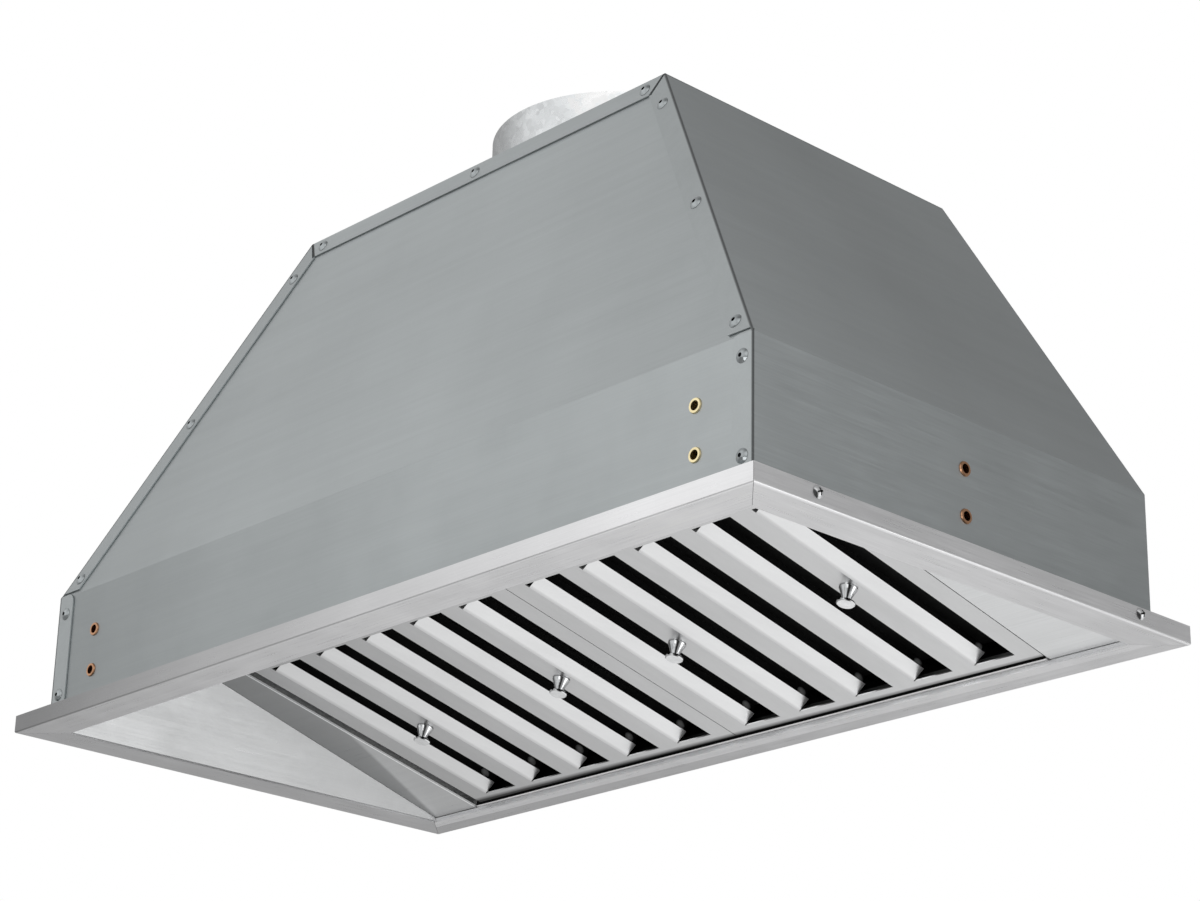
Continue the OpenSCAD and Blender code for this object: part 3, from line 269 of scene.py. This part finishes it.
def brushed_steel(name, colour, roughness, grain=ALONG_X, metal=SHEET_METAL, grit=1.0):
    """Brushed sheet: fine streaks along the grain, broad clouding and a few handling marks."""
    finish = new_finish(name)
    streaks = finish.noise(STREAK_SCALE, MEDIUM, grain, STREAK_HARSHNESS)
    coarse = finish.noise(COARSE_SCALE, PLAIN, grain)
    clouds = finish.noise(CLOUD_SCALE, MEDIUM)
    marks = finish.noise(MARK_SCALE, FINEST, MARK_STRETCH, MARK_HARSHNESS)
    tone = finish.product(finish.spread(streaks, 1.0 - STREAK_TONE * grit, 1.0 + STREAK_TONE * grit),
                          finish.spread(coarse, 1.0 - COARSE_TONE, 1.0 + COARSE_TONE),
                          finish.spread(clouds, 1.0 - CLOUD_TONE, 1.0 + CLOUD_TONE))
    finish.set("Base Color", finish.scaled(colour, tone))
    change = STREAK_ROUGHNESS * grit
    dull = finish.spread(streaks, roughness - change, roughness + change)
    finish.set("Roughness", finish.math("ADD", dull, finish.ramp(marks, *MARK_ROUGHNESS_RAMP)))
    finish.bump(streaks, STREAK_BUMP * grit, STREAK_DEPTH)
    finish.set("Metallic", metal)
    return finish


# Zinc coat: its crystals, fine grain and clouding
SPANGLE_SCALE = 260.0
SPANGLE_TONES = (0.90, 1.06, 0.0, 1.0)
SPANGLE_ROUGHNESS = 0.1
ZINC_FINE_SCALE = 240.0
ZINC_FINE_ROUGHNESS = 0.04
ZINC_CLOUD_SCALE = 14.0
ZINC_CLOUD_TONES = (0.88, 1.1)
ZINC_BUMP = 0.15
ZINC_DEPTH = 0.3 * MM


def galvanised(name, colour, roughness):
    """Zinc-coated sheet with a spangle of crystals."""
    finish = new_finish(name)
    cells = finish.node("TexVoronoi")
    cells.inputs["Scale"].default_value = SPANGLE_SCALE
    cells.inputs["Randomness"].default_value = 1.0
    finish.put(finish.places.outputs["Object"], cells.inputs["Vector"])
    crystal = finish.node("SeparateColor")
    finish.put(cells.outputs["Color"], crystal.inputs["Color"])
    fine = finish.noise(ZINC_FINE_SCALE, FINER)
    clouds = finish.noise(ZINC_CLOUD_SCALE, MEDIUM)
    tone = finish.product(finish.ramp(crystal.outputs["Red"], *SPANGLE_TONES),
                          finish.spread(clouds, *ZINC_CLOUD_TONES))
    finish.set("Base Color", finish.scaled(colour, tone))
    sharpest, dullest = roughness - SPANGLE_ROUGHNESS, roughness + SPANGLE_ROUGHNESS
    dull = finish.ramp(crystal.outputs["Green"], sharpest, dullest, 0.0, 1.0)
    grain = finish.spread(fine, -ZINC_FINE_ROUGHNESS, ZINC_FINE_ROUGHNESS)
    finish.set("Roughness", finish.math("ADD", dull, grain))
    finish.bump(fine, ZINC_BUMP, ZINC_DEPTH)
    finish.set("Metallic", SHEET_METAL)
    return finish


# Turned metal: its turning marks and its tarnish
TURNING_SCALE = 1400.0
TURNING_ROUGHNESS = 0.03
TURNING_BUMP = 0.05
TURNING_DEPTH = 0.1 * MM
TARNISH_SCALE = 180.0
TARNISH_TONES = (0.88, 1.05)
TARNISH_ROUGHNESS = (-0.02, 0.05)


def turned_metal(name, colour, roughness):
    """Small turned or plated parts: fine turning marks and light tarnish."""
    finish = new_finish(name)
    fine = finish.noise(TURNING_SCALE, MEDIUM)
    tarnish = finish.noise(TARNISH_SCALE, FINE)
    finish.set("Base Color", finish.scaled(colour, finish.spread(tarnish, *TARNISH_TONES)))
    dull = finish.spread(fine, roughness - TURNING_ROUGHNESS, roughness + TURNING_ROUGHNESS)
    finish.set("Roughness", finish.math("ADD", dull, finish.spread(tarnish, *TARNISH_ROUGHNESS)))
    finish.bump(fine, TURNING_BUMP, TURNING_DEPTH)
    finish.set("Metallic", 1.0)
    return finish


# Inserts: bright brass between these places along the hood, and tarnished brass elsewhere
FRESH_BRASS = (1.0, 0.86, 0.52, 1)
TARNISHED_BRASS = (0.60, 0.33, 0.19, 1)
FRESH_RAMPS = [(0.0, 1.0, 240 * MM, 260 * MM), (1.0, 0.0, 310 * MM, 320 * MM)]
BRASS_ROUGHNESS = 0.24


def insert_brass(name):
    """Brass that is bright on the inserts near the front right corner and tarnished brown elsewhere."""
    finish = turned_metal(name, (1.0, 1.0, 1.0), BRASS_ROUGHNESS)
    fresh = finish.product(*[finish.ramp(finish.axis("X"), *ramp) for ramp in FRESH_RAMPS])
    tone = finish.node("Mix")
    tone.data_type = "RGBA"
    tone.inputs["A"].default_value = TARNISHED_BRASS
    tone.inputs["B"].default_value = FRESH_BRASS
    finish.put(fresh, tone.inputs["Factor"])
    wear = finish.shader.inputs["Base Color"].links[0].from_socket
    finish.set("Base Color", finish.vector("MULTIPLY", wear, tone.outputs["Result"]))
    return finish


# Plastic, enamel and glass: their grain, and the dust on the plastic
GRAIN_DEPTH = 0.2 * MM
PLASTIC_SCALE = 1800.0
PLASTIC_BUMP = 0.25
DUST_SCALE = 30.0
DUST_TONES = (0.85, 1.25)
DUST_SHARPER = 0.05
DUST_DULLER = 0.08
GLASS_SCALE = 900.0
GLASS_BUMP = 0.3
GLASS_TONES = (0.97, 1.02)
GLASS_ROUGHNESS = (0.3, 0.45)
GLASS_TRANSMISSION = 0.35


def moulded(name, colour, roughness):
    """Fine-grained plastic or enamel."""
    finish = new_finish(name)
    grain = finish.noise(PLASTIC_SCALE, MEDIUM)
    dust = finish.noise(DUST_SCALE, FINEST)
    finish.set("Base Color", finish.scaled(colour, finish.spread(dust, *DUST_TONES)))
    finish.set("Roughness", finish.spread(dust, roughness - DUST_SHARPER, roughness + DUST_DULLER))
    finish.bump(grain, PLASTIC_BUMP, GRAIN_DEPTH)
    return finish


def frosted_glass(name, colour):
    finish = new_finish(name)
    grain = finish.noise(GLASS_SCALE, MEDIUM)
    finish.set("Base Color", finish.scaled(colour, finish.spread(grain, *GLASS_TONES)))
    finish.set("Roughness", finish.spread(grain, *GLASS_ROUGHNESS))
    finish.set("Transmission Weight", GLASS_TRANSMISSION)
    finish.bump(grain, GLASS_BUMP, GRAIN_DEPTH)
    return finish


def wall_distance(finish, across, half, lean):
    """Distance inwards from a wall that is upright up to the crease and leans above it."""
    band = finish.math("SUBTRACT", half, across)
    up = finish.math("SUBTRACT", finish.axis("Z"), CREASE_Z)
    slope = finish.math("SUBTRACT", finish.product(band, math.cos(lean)), finish.product(up, math.sin(lean)))
    return finish.math("MINIMUM", band, slope)


def shell_sheet(name, grain=ALONG_X):
    """Grey sheet of the shell, with painted shade along the bends where a side turns into the front."""
    finish = brushed_steel(name, SHELL, SHELL_ROUGHNESS, grain)
    side = wall_distance(finish, finish.math("ABSOLUTE", finish.axis("X")), BODY_X, SIDE_LEAN)
    front = wall_distance(finish, finish.along(TOWARDS_FRONT), BODY_Y, FRONT_LEAN)
    corner = finish.math("MAXIMUM", side, front)
    return finish.multiply(finish.ramp(corner, BEND_LEVEL, 1.0, BEND_CORE, BEND_REACH))


def rail_sheet(name, grain=ALONG_X):
    return brushed_steel(name, FRAME_STEEL, FRAME_ROUGHNESS, grain)


def inner_sheet(name, grain=ALONG_X):
    return brushed_steel(name, PAN, PAN_ROUGHNESS, grain)


def painted_light_along(finish, way, ramp):
    """A finish with painted light and shade that turn it darker or brighter along a direction."""
    return finish.multiply(finish.ramp(finish.along(way), *ramp))


# Front panel: painted shade darkens the band up to the crease to the left, and the slope towards both sides
BAND_RAMP = (0.75, 0.94, -330 * MM, 50 * MM)
SLOPE_LIGHT_RAMP = (1.06, 0.93, 50 * MM, 300 * MM)
CREASE_RAMP = (0.0, 1.0, CREASE_Z - 0.5 * MM, CREASE_Z + 0.5 * MM)


def front_sheet(name):
    """The front panel: painted shade darkens the upright band to the left, and painted light makes the slope
    brightest in the middle.
    """
    finish = shell_sheet(name)
    band = finish.ramp(finish.axis("X"), *BAND_RAMP)
    slope = finish.ramp(finish.math("ABSOLUTE", finish.axis("X")), *SLOPE_LIGHT_RAMP)
    return finish.multiply(finish.blend(band, slope, finish.ramp(finish.axis("Z"), *CREASE_RAMP)))


# Side panels: their painted light towards the front, the painted shade of their laps, and which faces look
# sideways
SIDE_RAMP = (1.24, 1.0, -170 * MM, 20 * MM)
LAP_SHADE = 0.93
SIDEWAYS_RAMP = (0.0, 1.0, 0.4, 0.6)


def side_sheet(name):
    """A side panel: painted light makes it brighter towards the front, but not on the laps that lie on the
    front panel, which carry a steady painted shade.
    """
    finish = shell_sheet(name, ALONG_Y)
    sideways = finish.ramp(finish.math("ABSOLUTE", finish.axis("X", "Normal")), *SIDEWAYS_RAMP)
    return finish.multiply(finish.blend(LAP_SHADE, finish.ramp(finish.axis("Y"), *SIDE_RAMP), sideways))


# Painted shade at the cut ends of the top panel's front lap: the direction across one, and its place along
# that direction
BROW_END_WAY = (0.8675, 0.0, -0.4975)
BROW_END = -18.1 * MM
BROW_END_SHADE_RAMP = (1.0, 0.06, BROW_END - 1.9 * MM, BROW_END - 1.3 * MM)
FRONTWARDS_RAMP = (0.0, 1.0, 0.5, 0.8)


def brow_sheet(name):
    """The top panel: the cut ends of its front lap stand off the side panels' laps, in deep painted shade."""
    finish = shell_sheet(name)
    end = finish.ramp(finish.vector("DOT_PRODUCT", finish.folded(), BROW_END_WAY), *BROW_END_SHADE_RAMP)
    front = finish.ramp(finish.along(TOWARDS_FRONT, "Normal"), *FRONTWARDS_RAMP)
    return finish.multiply(finish.blend(1.0, end, front))


# Painted light and shade on the frame: the front rail's skirt and underside, the rear rail near the channel
# and outside, the two end rails, and the left end panel
SKIRT_SHADE_RAMP = (0.31, 1.0, -340 * MM, 280 * MM)
UNDERSIDE_LIGHT_RAMP = (0.87, 1.09, -340 * MM, 0.0)
REAR_INSIDE_LIGHT_RAMP = (1.06, 1.12, -200 * MM, 270 * MM)
REAR_OUTSIDE_SHADE_RAMP = (0.74, 0.97, -200 * MM, 270 * MM)
OUTSIDE_RAMP = (0.0, 1.0, 176.5 * MM, 177.5 * MM)
LEFT_RAIL_SHADE_RAMP = (0.80, 0.76, -160 * MM, 100 * MM)
RIGHT_RAIL_LIGHT_RAMP = (1.08, 1.0, -160 * MM, 100 * MM)
LEFT_END_SHADE_RAMP = (0.78, 0.70, -160 * MM, 100 * MM)


def front_rail_sheet(name):
    """The front rail: painted shade makes its upright skirt darker towards the left end than its flat
    underside.
    """
    finish = rail_sheet(name)
    upright = finish.math("MAXIMUM", finish.along(TOWARDS_FRONT, "Normal"), 0.0)
    skirt = finish.ramp(finish.axis("X"), *SKIRT_SHADE_RAMP)
    return finish.multiply(finish.blend(finish.ramp(finish.axis("X"), *UNDERSIDE_LIGHT_RAMP), skirt, upright))


def rear_rail_sheet(name):
    """The rear rail: painted light near the channel, and painted shade outside, deepest towards the left end.
    """
    finish = rail_sheet(name)
    inside = finish.ramp(finish.axis("X"), *REAR_INSIDE_LIGHT_RAMP)
    outside = finish.ramp(finish.axis("X"), *REAR_OUTSIDE_SHADE_RAMP)
    return finish.multiply(finish.blend(inside, outside, finish.ramp(finish.axis("Y"), *OUTSIDE_RAMP)))


# Pan: inner edge of its left margin, the painted highlight on the cut edge there, and the direction across the
# painted shadow on the margin, which is lighter at the rear corner
MARGIN_X = -279.9 * MM
MARGIN_RAMP = (1.0, 0.0, MARGIN_X, MARGIN_X + 0.2 * MM)
CUT_EDGE_HIGHLIGHT_RAMP = (0.0, 0.7, MARGIN_X - 1.3 * MM, MARGIN_X - 0.9 * MM)
SHADOW_EDGE_WAY = (0.938, 0.346, 0.0)
MARGIN_SHADOW_RAMP = (0.46, 0.74, -250.0 * MM, -246.4 * MM)


def pan_sheet(name):
    """The sloping pan: a painted shadow darkens its left margin, less at a corner at the rear, and a painted
    highlight brightens the cut edge there.
    """
    finish = inner_sheet(name)
    margin = finish.ramp(finish.axis("X"), *MARGIN_RAMP)
    # Painted shadow across the margin, lighter towards the rear corner
    corner = finish.ramp(finish.along(SHADOW_EDGE_WAY), *MARGIN_SHADOW_RAMP)
    cut_edge_highlight = finish.ramp(finish.axis("X"), *CUT_EDGE_HIGHLIGHT_RAMP)
    return finish.multiply(finish.blend(1.0, finish.math("ADD", corner, cut_edge_highlight), margin))


# Filter trays: painted shade on the flats, a painted highlight on the lips and deep painted shade above them,
# painted shade towards the left, and painted shade for a rear edge bent up into the channel's shade, which is
# wider towards the left
FLAT_SHADE_RAMP = (0.76, 1.0, PAN_LEVEL + 0.4 * MM, PAN_LEVEL + 1.6 * MM)
RIM_HIGHLIGHT_RAMP = (1.0, 1.05, PAN_LEVEL + 6.6 * MM, PAN_LEVEL + 7.4 * MM)
INSIDE_SHADE_RAMP = (1.0, 0.012, PAN_LEVEL + 8.6 * MM, PAN_LEVEL + 9.6 * MM)
TRAY_LEFT_SHADE_RAMP = (0.76, 1.0, -270 * MM, -50 * MM)
TRAY_END = 155.6 * MM
TRAY_END_WAY = (-0.0065, math.cos(PAN_TILT), -math.sin(PAN_TILT))
TRAY_END_SHADE_RAMP = (1.0, 0.02, TRAY_END - 4.75 * MM, TRAY_END - 0.25 * MM)
TRAY_GRIT = 0.2


def filter_sheet(name):
    """Bright sheet below, with painted shade on the flats, a painted highlight on the lips, and deep painted
    shade above the lips inside the filter.
    """
    finish = brushed_steel(name, FILTER, FILTER_ROUGHNESS, ALONG_Y, grit=TRAY_GRIT)
    level = finish.along(PAN_UP)
    heights = [finish.ramp(level, *ramp) for ramp in (FLAT_SHADE_RAMP, RIM_HIGHLIGHT_RAMP, INSIDE_SHADE_RAMP)]
    left = finish.ramp(finish.axis("X"), *TRAY_LEFT_SHADE_RAMP)
    return finish.multiply(left, finish.ramp(finish.along(TRAY_END_WAY), *TRAY_END_SHADE_RAMP), *heights)


# Painted reflections on the baffles: where they lie along the filter, their height and half sizes, and their
# tone
SPOT_WAY = (-0.0245, math.cos(PAN_TILT), -math.sin(PAN_TILT))
LEFT_SPOT = 150.0 * MM
RIGHT_SPOT = 146.8 * MM
SPOT_LEVEL = PAN_LEVEL + 16.5 * MM
SPOT_HALF_LENGTH = 4.5 * MM
SPOT_HALF_HEIGHT = 3.5 * MM
REFLECTION_SPOT_RAMP = (110.0, 1.0, 0.0, 1.0)
# Near black of the filter's inside, a painted deep shade, and its roughness
INSIDE_SHADE = (0.008, 0.008, 0.008)
INSIDE_SHADE_ROUGHNESS = 0.6


def shaded_baffle(name, spot):
    """Painted deep shade inside the filter, with a painted reflection on each baffle near its rear end."""
    finish = moulded(name, INSIDE_SHADE, INSIDE_SHADE_ROUGHNESS)
    off = finish.math("DIVIDE", finish.math("SUBTRACT", finish.along(SPOT_WAY), spot), SPOT_HALF_LENGTH)
    up = finish.math("DIVIDE", finish.math("SUBTRACT", finish.along(PAN_UP), SPOT_LEVEL), SPOT_HALF_HEIGHT)
    reach = finish.math("ADD", finish.product(off, off), finish.product(up, up))
    return finish.multiply(finish.ramp(reach, *REFLECTION_SPOT_RAMP))


# Grease channel: the painted shade on its wall towards the filters, and how metallic the channel is
CHANNEL_WALL_SHADE_RAMP = (1.0, 0.02, 0.4, 0.6)
CHANNEL_METAL = 0.5


def channel_sheet(name):
    """The grease channel: its wall towards the filters is in deep painted shade."""
    finish = brushed_steel(name, CHANNEL, PAN_ROUGHNESS, metal=CHANNEL_METAL)
    return finish.multiply(finish.ramp(finish.along(TOWARDS_FRONT, "Normal"), *CHANNEL_WALL_SHADE_RAMP))


# Rivets and screws: the direction of their side in painted shade, and how that shade deepens as the surface
# turns towards it
RIVET_STEEL = (0.44, 0.47, 0.48)
RIVET_ROUGHNESS = 0.15
RIVET_SHADE_WAY = (0.62, 0.52, -0.58)
RIVET_SHADE_RAMP = (1.0, 0.22, 0.38, 0.62)
SCREW_STEEL = (0.86, 0.87, 0.88)
SCREW_ROUGHNESS = 0.36
SCREW_SHADE_WAY = (0.0, -0.85, -0.53)
SCREW_SHADE_RAMP = (1.0, 0.08, 0.50, 0.62)
# Centre of a frame screw's domed head, with all coordinates positive, and the head's radius and the painted
# shade of its recess
SCREW_DOME = (353.37 * MM, 143.19 * MM, 8.0 * MM)
SCREW_DOME_R = 4.53 * MM
SCREW_RECESS_SHADE_RAMP = (0.02, 1.0, SCREW_DOME_R - 0.12 * MM, SCREW_DOME_R - 0.05 * MM)


def rivet_head(name):
    """Domed rivets with painted shade on the side turned down and to the right."""
    finish = turned_metal(name, RIVET_STEEL, RIVET_ROUGHNESS)
    return finish.multiply(finish.ramp(finish.along(RIVET_SHADE_WAY, "Normal"), *RIVET_SHADE_RAMP))


def cross_screws(name):
    """Plated screws with painted shade in their cross recess and on the side of the head turned down and to
    the front.
    """
    finish = turned_metal(name, SCREW_STEEL, SCREW_ROUGHNESS)
    recess = finish.ramp(finish.vector("DISTANCE", finish.folded(), SCREW_DOME), *SCREW_RECESS_SHADE_RAMP)
    rim = finish.ramp(finish.along(SCREW_SHADE_WAY, "Normal"), *SCREW_SHADE_RAMP)
    return finish.multiply(recess, rim)


# Knobs: the direction across which their bands of painted reflection follow one another, and the ramps of
# bands and flat faces
CHROME = (0.93, 0.94, 0.95)
CHROME_ROUGHNESS = 0.09
ACROSS_WAY = (0.682, 0.731, 0.0)
KNOB_REFLECTION_RAMP = (0.04, 1.0, 0.05, 0.55)
KNOB_FACE_RAMP = (0.0, 1.0, 0.85, 0.95)
# Collar: its painted light and shade along the same direction
COLLAR_ZINC = (0.80, 0.82, 0.83)
ZINC_ROUGHNESS = 0.30
COLLAR_LIGHT_RAMP = (0.42, 1.2, -75 * MM, 0.0)


def chrome_knob(name):
    """Polished cones with dark upright bands of painted reflection on their sides."""
    finish = turned_metal(name, CHROME, CHROME_ROUGHNESS)
    wave = finish.math("SINE", finish.product(finish.along(ACROSS_WAY, "Normal"), math.pi))
    band = finish.ramp(finish.product(wave, wave), *KNOB_REFLECTION_RAMP)
    face = finish.ramp(finish.math("ABSOLUTE", finish.along(PAN_UP, "Normal")), *KNOB_FACE_RAMP)
    return finish.multiply(finish.math("MAXIMUM", band, face))


# Finishes of the material slots
SLOT_FINISHES = {
    "brushed_shell": shell_sheet("shell_steel"),
    "frame_steel": rail_sheet("frame_steel"),
    "pan_steel": inner_sheet("pan_steel"),
    "filter_steel": brushed_steel("filter_steel", FILTER, FILTER_ROUGHNESS, ALONG_Y),
    "rivet_steel": rivet_head("rivet_steel"),
    "insert_brass": insert_brass("insert_brass"),
    "knob_chrome": turned_metal("knob_chrome", (0.88, 0.89, 0.90), CHROME_ROUGHNESS),
    "galvanised": galvanised("galvanised", (0.78, 0.80, 0.81), ZINC_ROUGHNESS),
    "lamp_glass": frosted_glass("lamp_glass", (0.93, 0.93, 0.90)),
    "motor_paint": moulded("motor_enamel", (0.03, 0.03, 0.032), 0.38),
    "dark_plastic": moulded("dark_plastic", (0.035, 0.035, 0.038), 0.48),
}

# Pieces whose finish differs from that of their slot
NODE_FINISHES = {
    "front_panel": front_sheet("front_panel_steel"),
    "left_side_panel": side_sheet("left_side_steel"),
    "right_side_panel": side_sheet("right_side_steel"),
    "top_panel": brow_sheet("top_panel_steel"),
    "front_rail": front_rail_sheet("front_rail_steel"),
    "back_rail": rear_rail_sheet("rear_rail_steel"),
    # The end rails and the left end panel carry painted light and shade along the hood's depth
    "left_rail": painted_light_along(rail_sheet("left_rail_steel", ALONG_Y), AXIS_Y, LEFT_RAIL_SHADE_RAMP),
    "right_rail": painted_light_along(rail_sheet("right_rail_steel", ALONG_Y), AXIS_Y, RIGHT_RAIL_LIGHT_RAMP),
    "left_end_panel": painted_light_along(inner_sheet("left_end_steel", ALONG_Y), AXIS_Y, LEFT_END_SHADE_RAMP),
    "right_end_panel": inner_sheet("right_end_steel", ALONG_Y),
    "filter_pan": pan_sheet("filter_pan_steel"),
    "grease_channel": channel_sheet("channel_steel"),
    "frame_screws": cross_screws("screw_steel"),
    "left_filter_knobs": chrome_knob("left_knob_chrome"),
    "right_filter_knobs": chrome_knob("right_knob_chrome"),
    "duct_collar": painted_light_along(galvanised("collar_zinc", COLLAR_ZINC, ZINC_ROUGHNESS), ACROSS_WAY, COLLAR_LIGHT_RAMP),
    "left_filter_tray": filter_sheet("left_tray_steel"),
    "right_filter_tray": filter_sheet("right_tray_steel"),
    "left_filter_baffles": shaded_baffle("left_baffle_shade", LEFT_SPOT),
    "right_filter_baffles": shaded_baffle("right_baffle_shade", RIGHT_SPOT),
}


def finish_nodes():
    """Gives every CAD node its own finish, or that of its slot."""
    for part in frame["record"]["subparts"]:
        piece = frame["nodes"][part["node"]]
        finish = NODE_FINISHES.get(part["node"], SLOT_FINISHES[part["material_slot"]])
        piece.data.materials.clear()
        piece.data.materials.append(finish.owner)


# Folded lips of the pan's opening: where its sides are, how far each lip reaches, their heights above the
# pan's plane, the easing of their free edge, and how far they end before the filter does
OPENING_LEFT = -280.0 * MM
OPENING_RIGHT = 268.0 * MM
LEFT_LIP_REACH = 2.0 * MM
RIGHT_LIP_REACH = 0.8 * MM
LIP_UNDER = 0.2 * MM
LIP_OVER = 0.8 * MM
LIP_EASE = 0.15 * MM
LIP_BEVEL = 0.3 * MM
LIP_SHORT = 2.0 * MM
# Painted shade on the left lip, darker towards the front
LEFT_LIP_SHADE_RAMP = (0.50, 0.66, -120 * MM, 120 * MM)


def make_opening_lip(name, edge, reach, finish):
    """A narrow folded lip along one side of the pan's opening, from the pan's edge towards the filter."""
    low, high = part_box("left_filter_tray")
    tip = edge + reach
    bevel = tip - math.copysign(LIP_BEVEL, reach)
    profile = [(edge, LIP_UNDER), (bevel, LIP_UNDER), (tip, LIP_UNDER + LIP_EASE),
               (tip, LIP_OVER - LIP_EASE), (bevel, LIP_OVER), (edge, LIP_OVER)]
    if reach < 0:
        profile.reverse()
    count = len(profile)
    points = []
    for y in (low.y, high.y - LIP_SHORT):
        foot = PAN_Z - y * math.tan(PAN_TILT)
        points += [(x, y + height * PAN_UP[1], foot + height * PAN_UP[2]) for x, height in profile]
    faces = [tuple(range(count)), tuple(reversed(range(count, 2 * count)))]
    faces += [(i + count, (i + 1) % count + count, (i + 1) % count, i) for i in range(count)]
    mesh = bpy.data.meshes.new(name)
    mesh.from_pydata(points, [], faces)
    mesh.materials.append(finish.owner)
    lip = bpy.data.objects.new(name, mesh)
    bpy.context.scene.collection.objects.link(lip)
    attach(lip, "casing")


def make_opening_lips():
    left = painted_light_along(inner_sheet("left_lip_steel"), AXIS_Y, LEFT_LIP_SHADE_RAMP)
    make_opening_lip("left_opening_lip", OPENING_LEFT, LEFT_LIP_REACH, left)
    make_opening_lip("right_opening_lip", OPENING_RIGHT, -RIGHT_LIP_REACH, inner_sheet("right_lip_steel"))


def make_camera():
    data = bpy.data.cameras.new("camera")
    data.sensor_width = SENSOR
    data.sensor_fit = "HORIZONTAL"
    data.lens = FOCAL_PIXELS / FRAME_WIDTH * SENSOR
    data.clip_start = CLIP_START
    data.clip_end = CLIP_END
    camera = bpy.data.objects.new("camera", data)
    bpy.context.scene.collection.objects.link(camera)
    turn = (Matrix.Rotation(math.radians(CAMERA_YAW), 4, "Z")
            @ Matrix.Rotation(math.radians(90.0 + CAMERA_PITCH), 4, "X")
            @ Matrix.Rotation(math.radians(CAMERA_ROLL), 4, "Z"))
    camera.matrix_world = Matrix.Translation(Vector(CAMERA_PLACE)) @ turn
    bpy.context.scene.camera = camera


def make_floor():
    """A pale floor well below the hanging hood that glows with a painted pool of light, and is white where the
    camera sees it.
    """
    half = FLOOR_SIZE / 2
    mesh = bpy.data.meshes.new("floor")
    corners = [(-half, -half, 0), (half, -half, 0), (half, half, 0), (-half, half, 0)]
    mesh.from_pydata(corners, [], [(0, 1, 2, 3)])
    floor = bpy.data.objects.new("floor", mesh)
    floor.location = (*POOL_PLACE, FLOOR_Z)
    bpy.context.scene.collection.objects.link(floor)
    finish = new_finish("floor")
    finish.nodes.remove(finish.shader)
    pool = finish.node("Emission")
    reach = finish.vector("LENGTH", finish.places.outputs["Object"])
    finish.put(finish.ramp(reach, *POOL_RAMP), pool.inputs["Strength"])
    white = finish.node("Emission")
    white.inputs["Strength"].default_value = 1.0
    surface = finish.nodes["Material Output"].inputs["Surface"]
    finish.put(finish.white_when_seen(pool.outputs["Emission"], white.outputs["Emission"]), surface)
    mesh.materials.append(finish.owner)


def make_world():
    """White behind the hood, and a soft sky that is brighter low down and in three directions."""
    world = bpy.data.worlds.new("world")
    bpy.context.scene.world = world
    world.use_nodes = True
    world.node_tree.nodes.clear()
    finish = Finish(world)
    direction = finish.vector("NORMALIZE", finish.places.outputs["Generated"])
    parts = finish.node("SeparateXYZ")
    finish.put(direction, parts.inputs["Vector"])
    level = finish.ramp(parts.outputs["Z"], *SKY_RAMP)
    for way, ramp in KEYS:
        towards = finish.vector("DOT_PRODUCT", direction, Vector(way).normalized())
        level = finish.math("ADD", level, finish.ramp(towards, *ramp))
    sky = finish.node("Background")
    finish.put(level, sky.inputs["Strength"])
    white = finish.node("Background")
    for background in (sky, white):
        background.inputs["Color"].default_value = (1, 1, 1, 1)
    surface = finish.node("OutputWorld").inputs["Surface"]
    finish.put(finish.white_when_seen(sky.outputs["Background"], white.outputs["Background"]), surface)


def make_lamps():
    for name, (place, target, size, power) in LAMPS.items():
        data = bpy.data.lights.new(name, "AREA")
        data.shape = "RECTANGLE"
        data.size, data.size_y = size
        data.energy = power
        lamp = bpy.data.objects.new(name, data)
        bpy.context.scene.collection.objects.link(lamp)
        lamp.location = place
        lamp.rotation_mode = "QUATERNION"
        lamp.rotation_quaternion = (Vector(target) - Vector(place)).to_track_quat("-Z", "Y")


finish_nodes()
make_opening_lips()
make_camera()
make_floor()
make_world()
make_lamps()
bpy.context.scene.view_settings.view_transform = "Standard"
